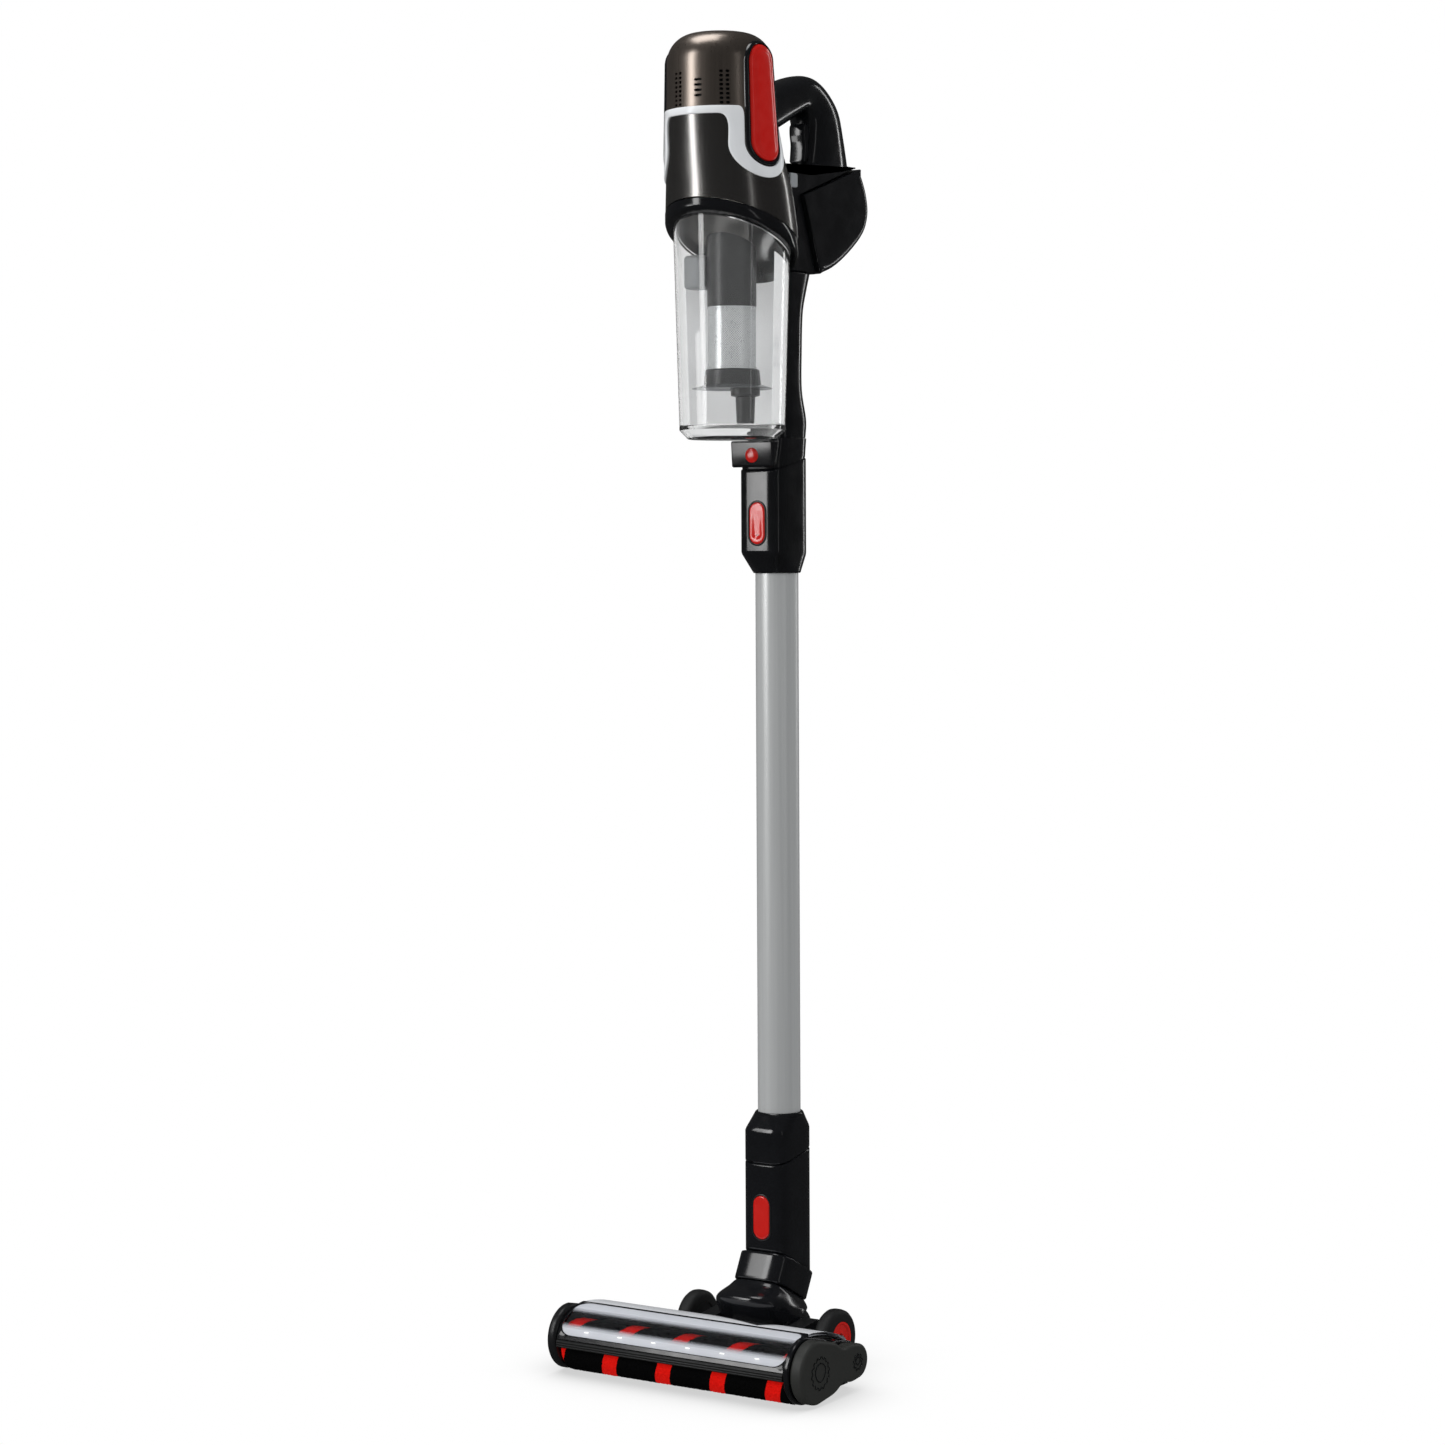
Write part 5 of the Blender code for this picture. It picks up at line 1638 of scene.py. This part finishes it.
# %% Copies and finishes of the remaining nodes
COPIED = {
    "head_base": "satin_black",
    "left_bracket": "satin_black",
    "right_bracket": "satin_black",
    "left_axle": "steel",
    "right_axle": "steel",
    "roller_motor": "steel",
}
for node, material in COPIED.items():
    merged_copy(node, material, "floor_head")
KEPT = {
    "drive_belt": "rubber",
    "light_board": "board",
    "roller_core": "rubber",
    "roller_pulley": "steel",
    "drive_pinion": "steel",
    "fan_motor": "motor",
    "filter_disc": "filter",
    "impeller": "mid_grey",
}
for node, material in KEPT.items():
    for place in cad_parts[node].material_slots:
        place.material = MATERIAL[material]
print(len(KEPT), "inner nodes keep their shape")

# %% [markdown]
# ## Studio
# White paper all round, seen as white, but darker in reflections, so that the
# glossy black parts stay black with long clean highlights from tall soft boxes.


# %% Floor, backdrop and lights
def seen_directly(tree, path):
    """1 for rays from the eye, straight or through clear plastic, and 0 for all others."""
    camera_ray, through_ray = path.outputs["Is Camera Ray"], path.outputs["Is Transmission Ray"]
    either = add(tree, "ShaderNodeMath", {0: camera_ray, 1: through_ray}, operation="MAXIMUM")
    return either.outputs[0]


def studio_world():
    """White to the eye and through clear plastic, dim grey in reflections."""
    world = bpy.data.worlds.new("studio")
    world.use_nodes = True
    tree = world.node_tree
    paper = tree.nodes["Background"]
    paper.inputs[0].default_value = (1, 1, 1, 1)
    path = add(tree, "ShaderNodeLightPath")
    dark = add(tree, "ShaderNodeBackground", {"Color": (0.86, 0.84, 0.82, 1), "Strength": 0.045})
    soft = add(tree, "ShaderNodeBackground", {"Color": (0.95, 0.97, 1.0, 1), "Strength": 0.72})
    lit = add(
        tree,
        "ShaderNodeMixShader",
        {0: path.outputs["Is Diffuse Ray"], 1: dark.outputs[0], 2: soft.outputs[0]},
    )
    seen = seen_directly(tree, path)
    mix = add(tree, "ShaderNodeMixShader", {0: seen, 1: lit.outputs[0], 2: paper.outputs[0]})
    tree.links.new(mix.outputs[0], tree.nodes["World Output"].inputs[0])
    bpy.context.scene.world = world


def white_paper():
    """Paper shown pure white, with a painted contact shadow from an occlusion node close under the
    part; dim in reflections.
    """
    made = bpy.data.materials.new("white_paper")
    made.use_nodes = True
    tree = made.node_tree
    # painted contact shadow: the paper's glow drops where the occlusion node finds the part close
    # above
    close = add(tree, "ShaderNodeAmbientOcclusion", {"Distance": 0.16})
    painted_shadow_tone = add(
        tree, "ShaderNodeMapRange", {0: close.outputs["AO"], 1: 0.30, 2: 0.92, 3: 0.62, 4: 1.0}
    )
    glow = add(tree, "ShaderNodeEmission", {"Strength": painted_shadow_tone.outputs[0]})
    path = add(tree, "ShaderNodeLightPath")
    bounce = add(
        tree,
        "ShaderNodeMath",
        {0: path.outputs["Is Diffuse Ray"], 1: 0.55, 2: 0.05},
        operation="MULTIPLY_ADD",
    )
    dim = add(tree, "ShaderNodeEmission", {"Strength": bounce.outputs[0]})
    seen = seen_directly(tree, path)
    mix = add(tree, "ShaderNodeMixShader", {0: seen, 1: dim.outputs[0], 2: glow.outputs[0]})
    tree.links.new(mix.outputs[0], tree.nodes["Material Output"].inputs[0])
    return made


def soft_box(name, place, aim, size, power):
    """A rectangular lamp at a place, turned to face a point."""
    lamp = bpy.data.lights.new(name, "AREA")
    lamp.shape = "RECTANGLE"
    lamp.size, lamp.size_y = size
    lamp.energy = power
    made = bpy.data.objects.new(name, lamp)
    bpy.context.scene.collection.objects.link(made)
    made.location = place
    away = np.asarray(place, float) - np.asarray(aim, float)
    flat = math.hypot(away[0], away[1])
    made.rotation_euler = (math.atan2(flat, away[2]), 0, math.atan2(away[1], away[0]) + math.pi / 2)
    return made


studio_world()
floor_mesh = bpy.data.meshes.new("floor")
floor_mesh.from_pydata([(-9, -9, 0), (9, -9, 0), (9, 9, 0), (-9, 9, 0)], [], [(0, 1, 2, 3)])
floor = bpy.data.objects.new("floor", floor_mesh)
bpy.context.scene.collection.objects.link(floor)
floor_mesh.materials.append(white_paper())
soft_box("key_left", (-1.22, -2.2, 1.45), (0, 0, 1.1), (0.5, 1.66), 19)
soft_box("side_right", (2.4, -0.75, 1.0), (0, 0, 0.6), (0.12, 2.2), 1.3)
soft_box("collar_glint", (-0.66, -0.80, 0.78), (0, 0, 0.07), (0.2, 0.26), 0.8)
soft_box("overhead", (-0.5, -0.2, 2.7), (0, 0, 0.4), (1.0, 1.0), 13)
soft_box("back_rim", (0.75, 2.2, 1.2), (0, 0, 0.9), (0.12, 1.8), 3.6)
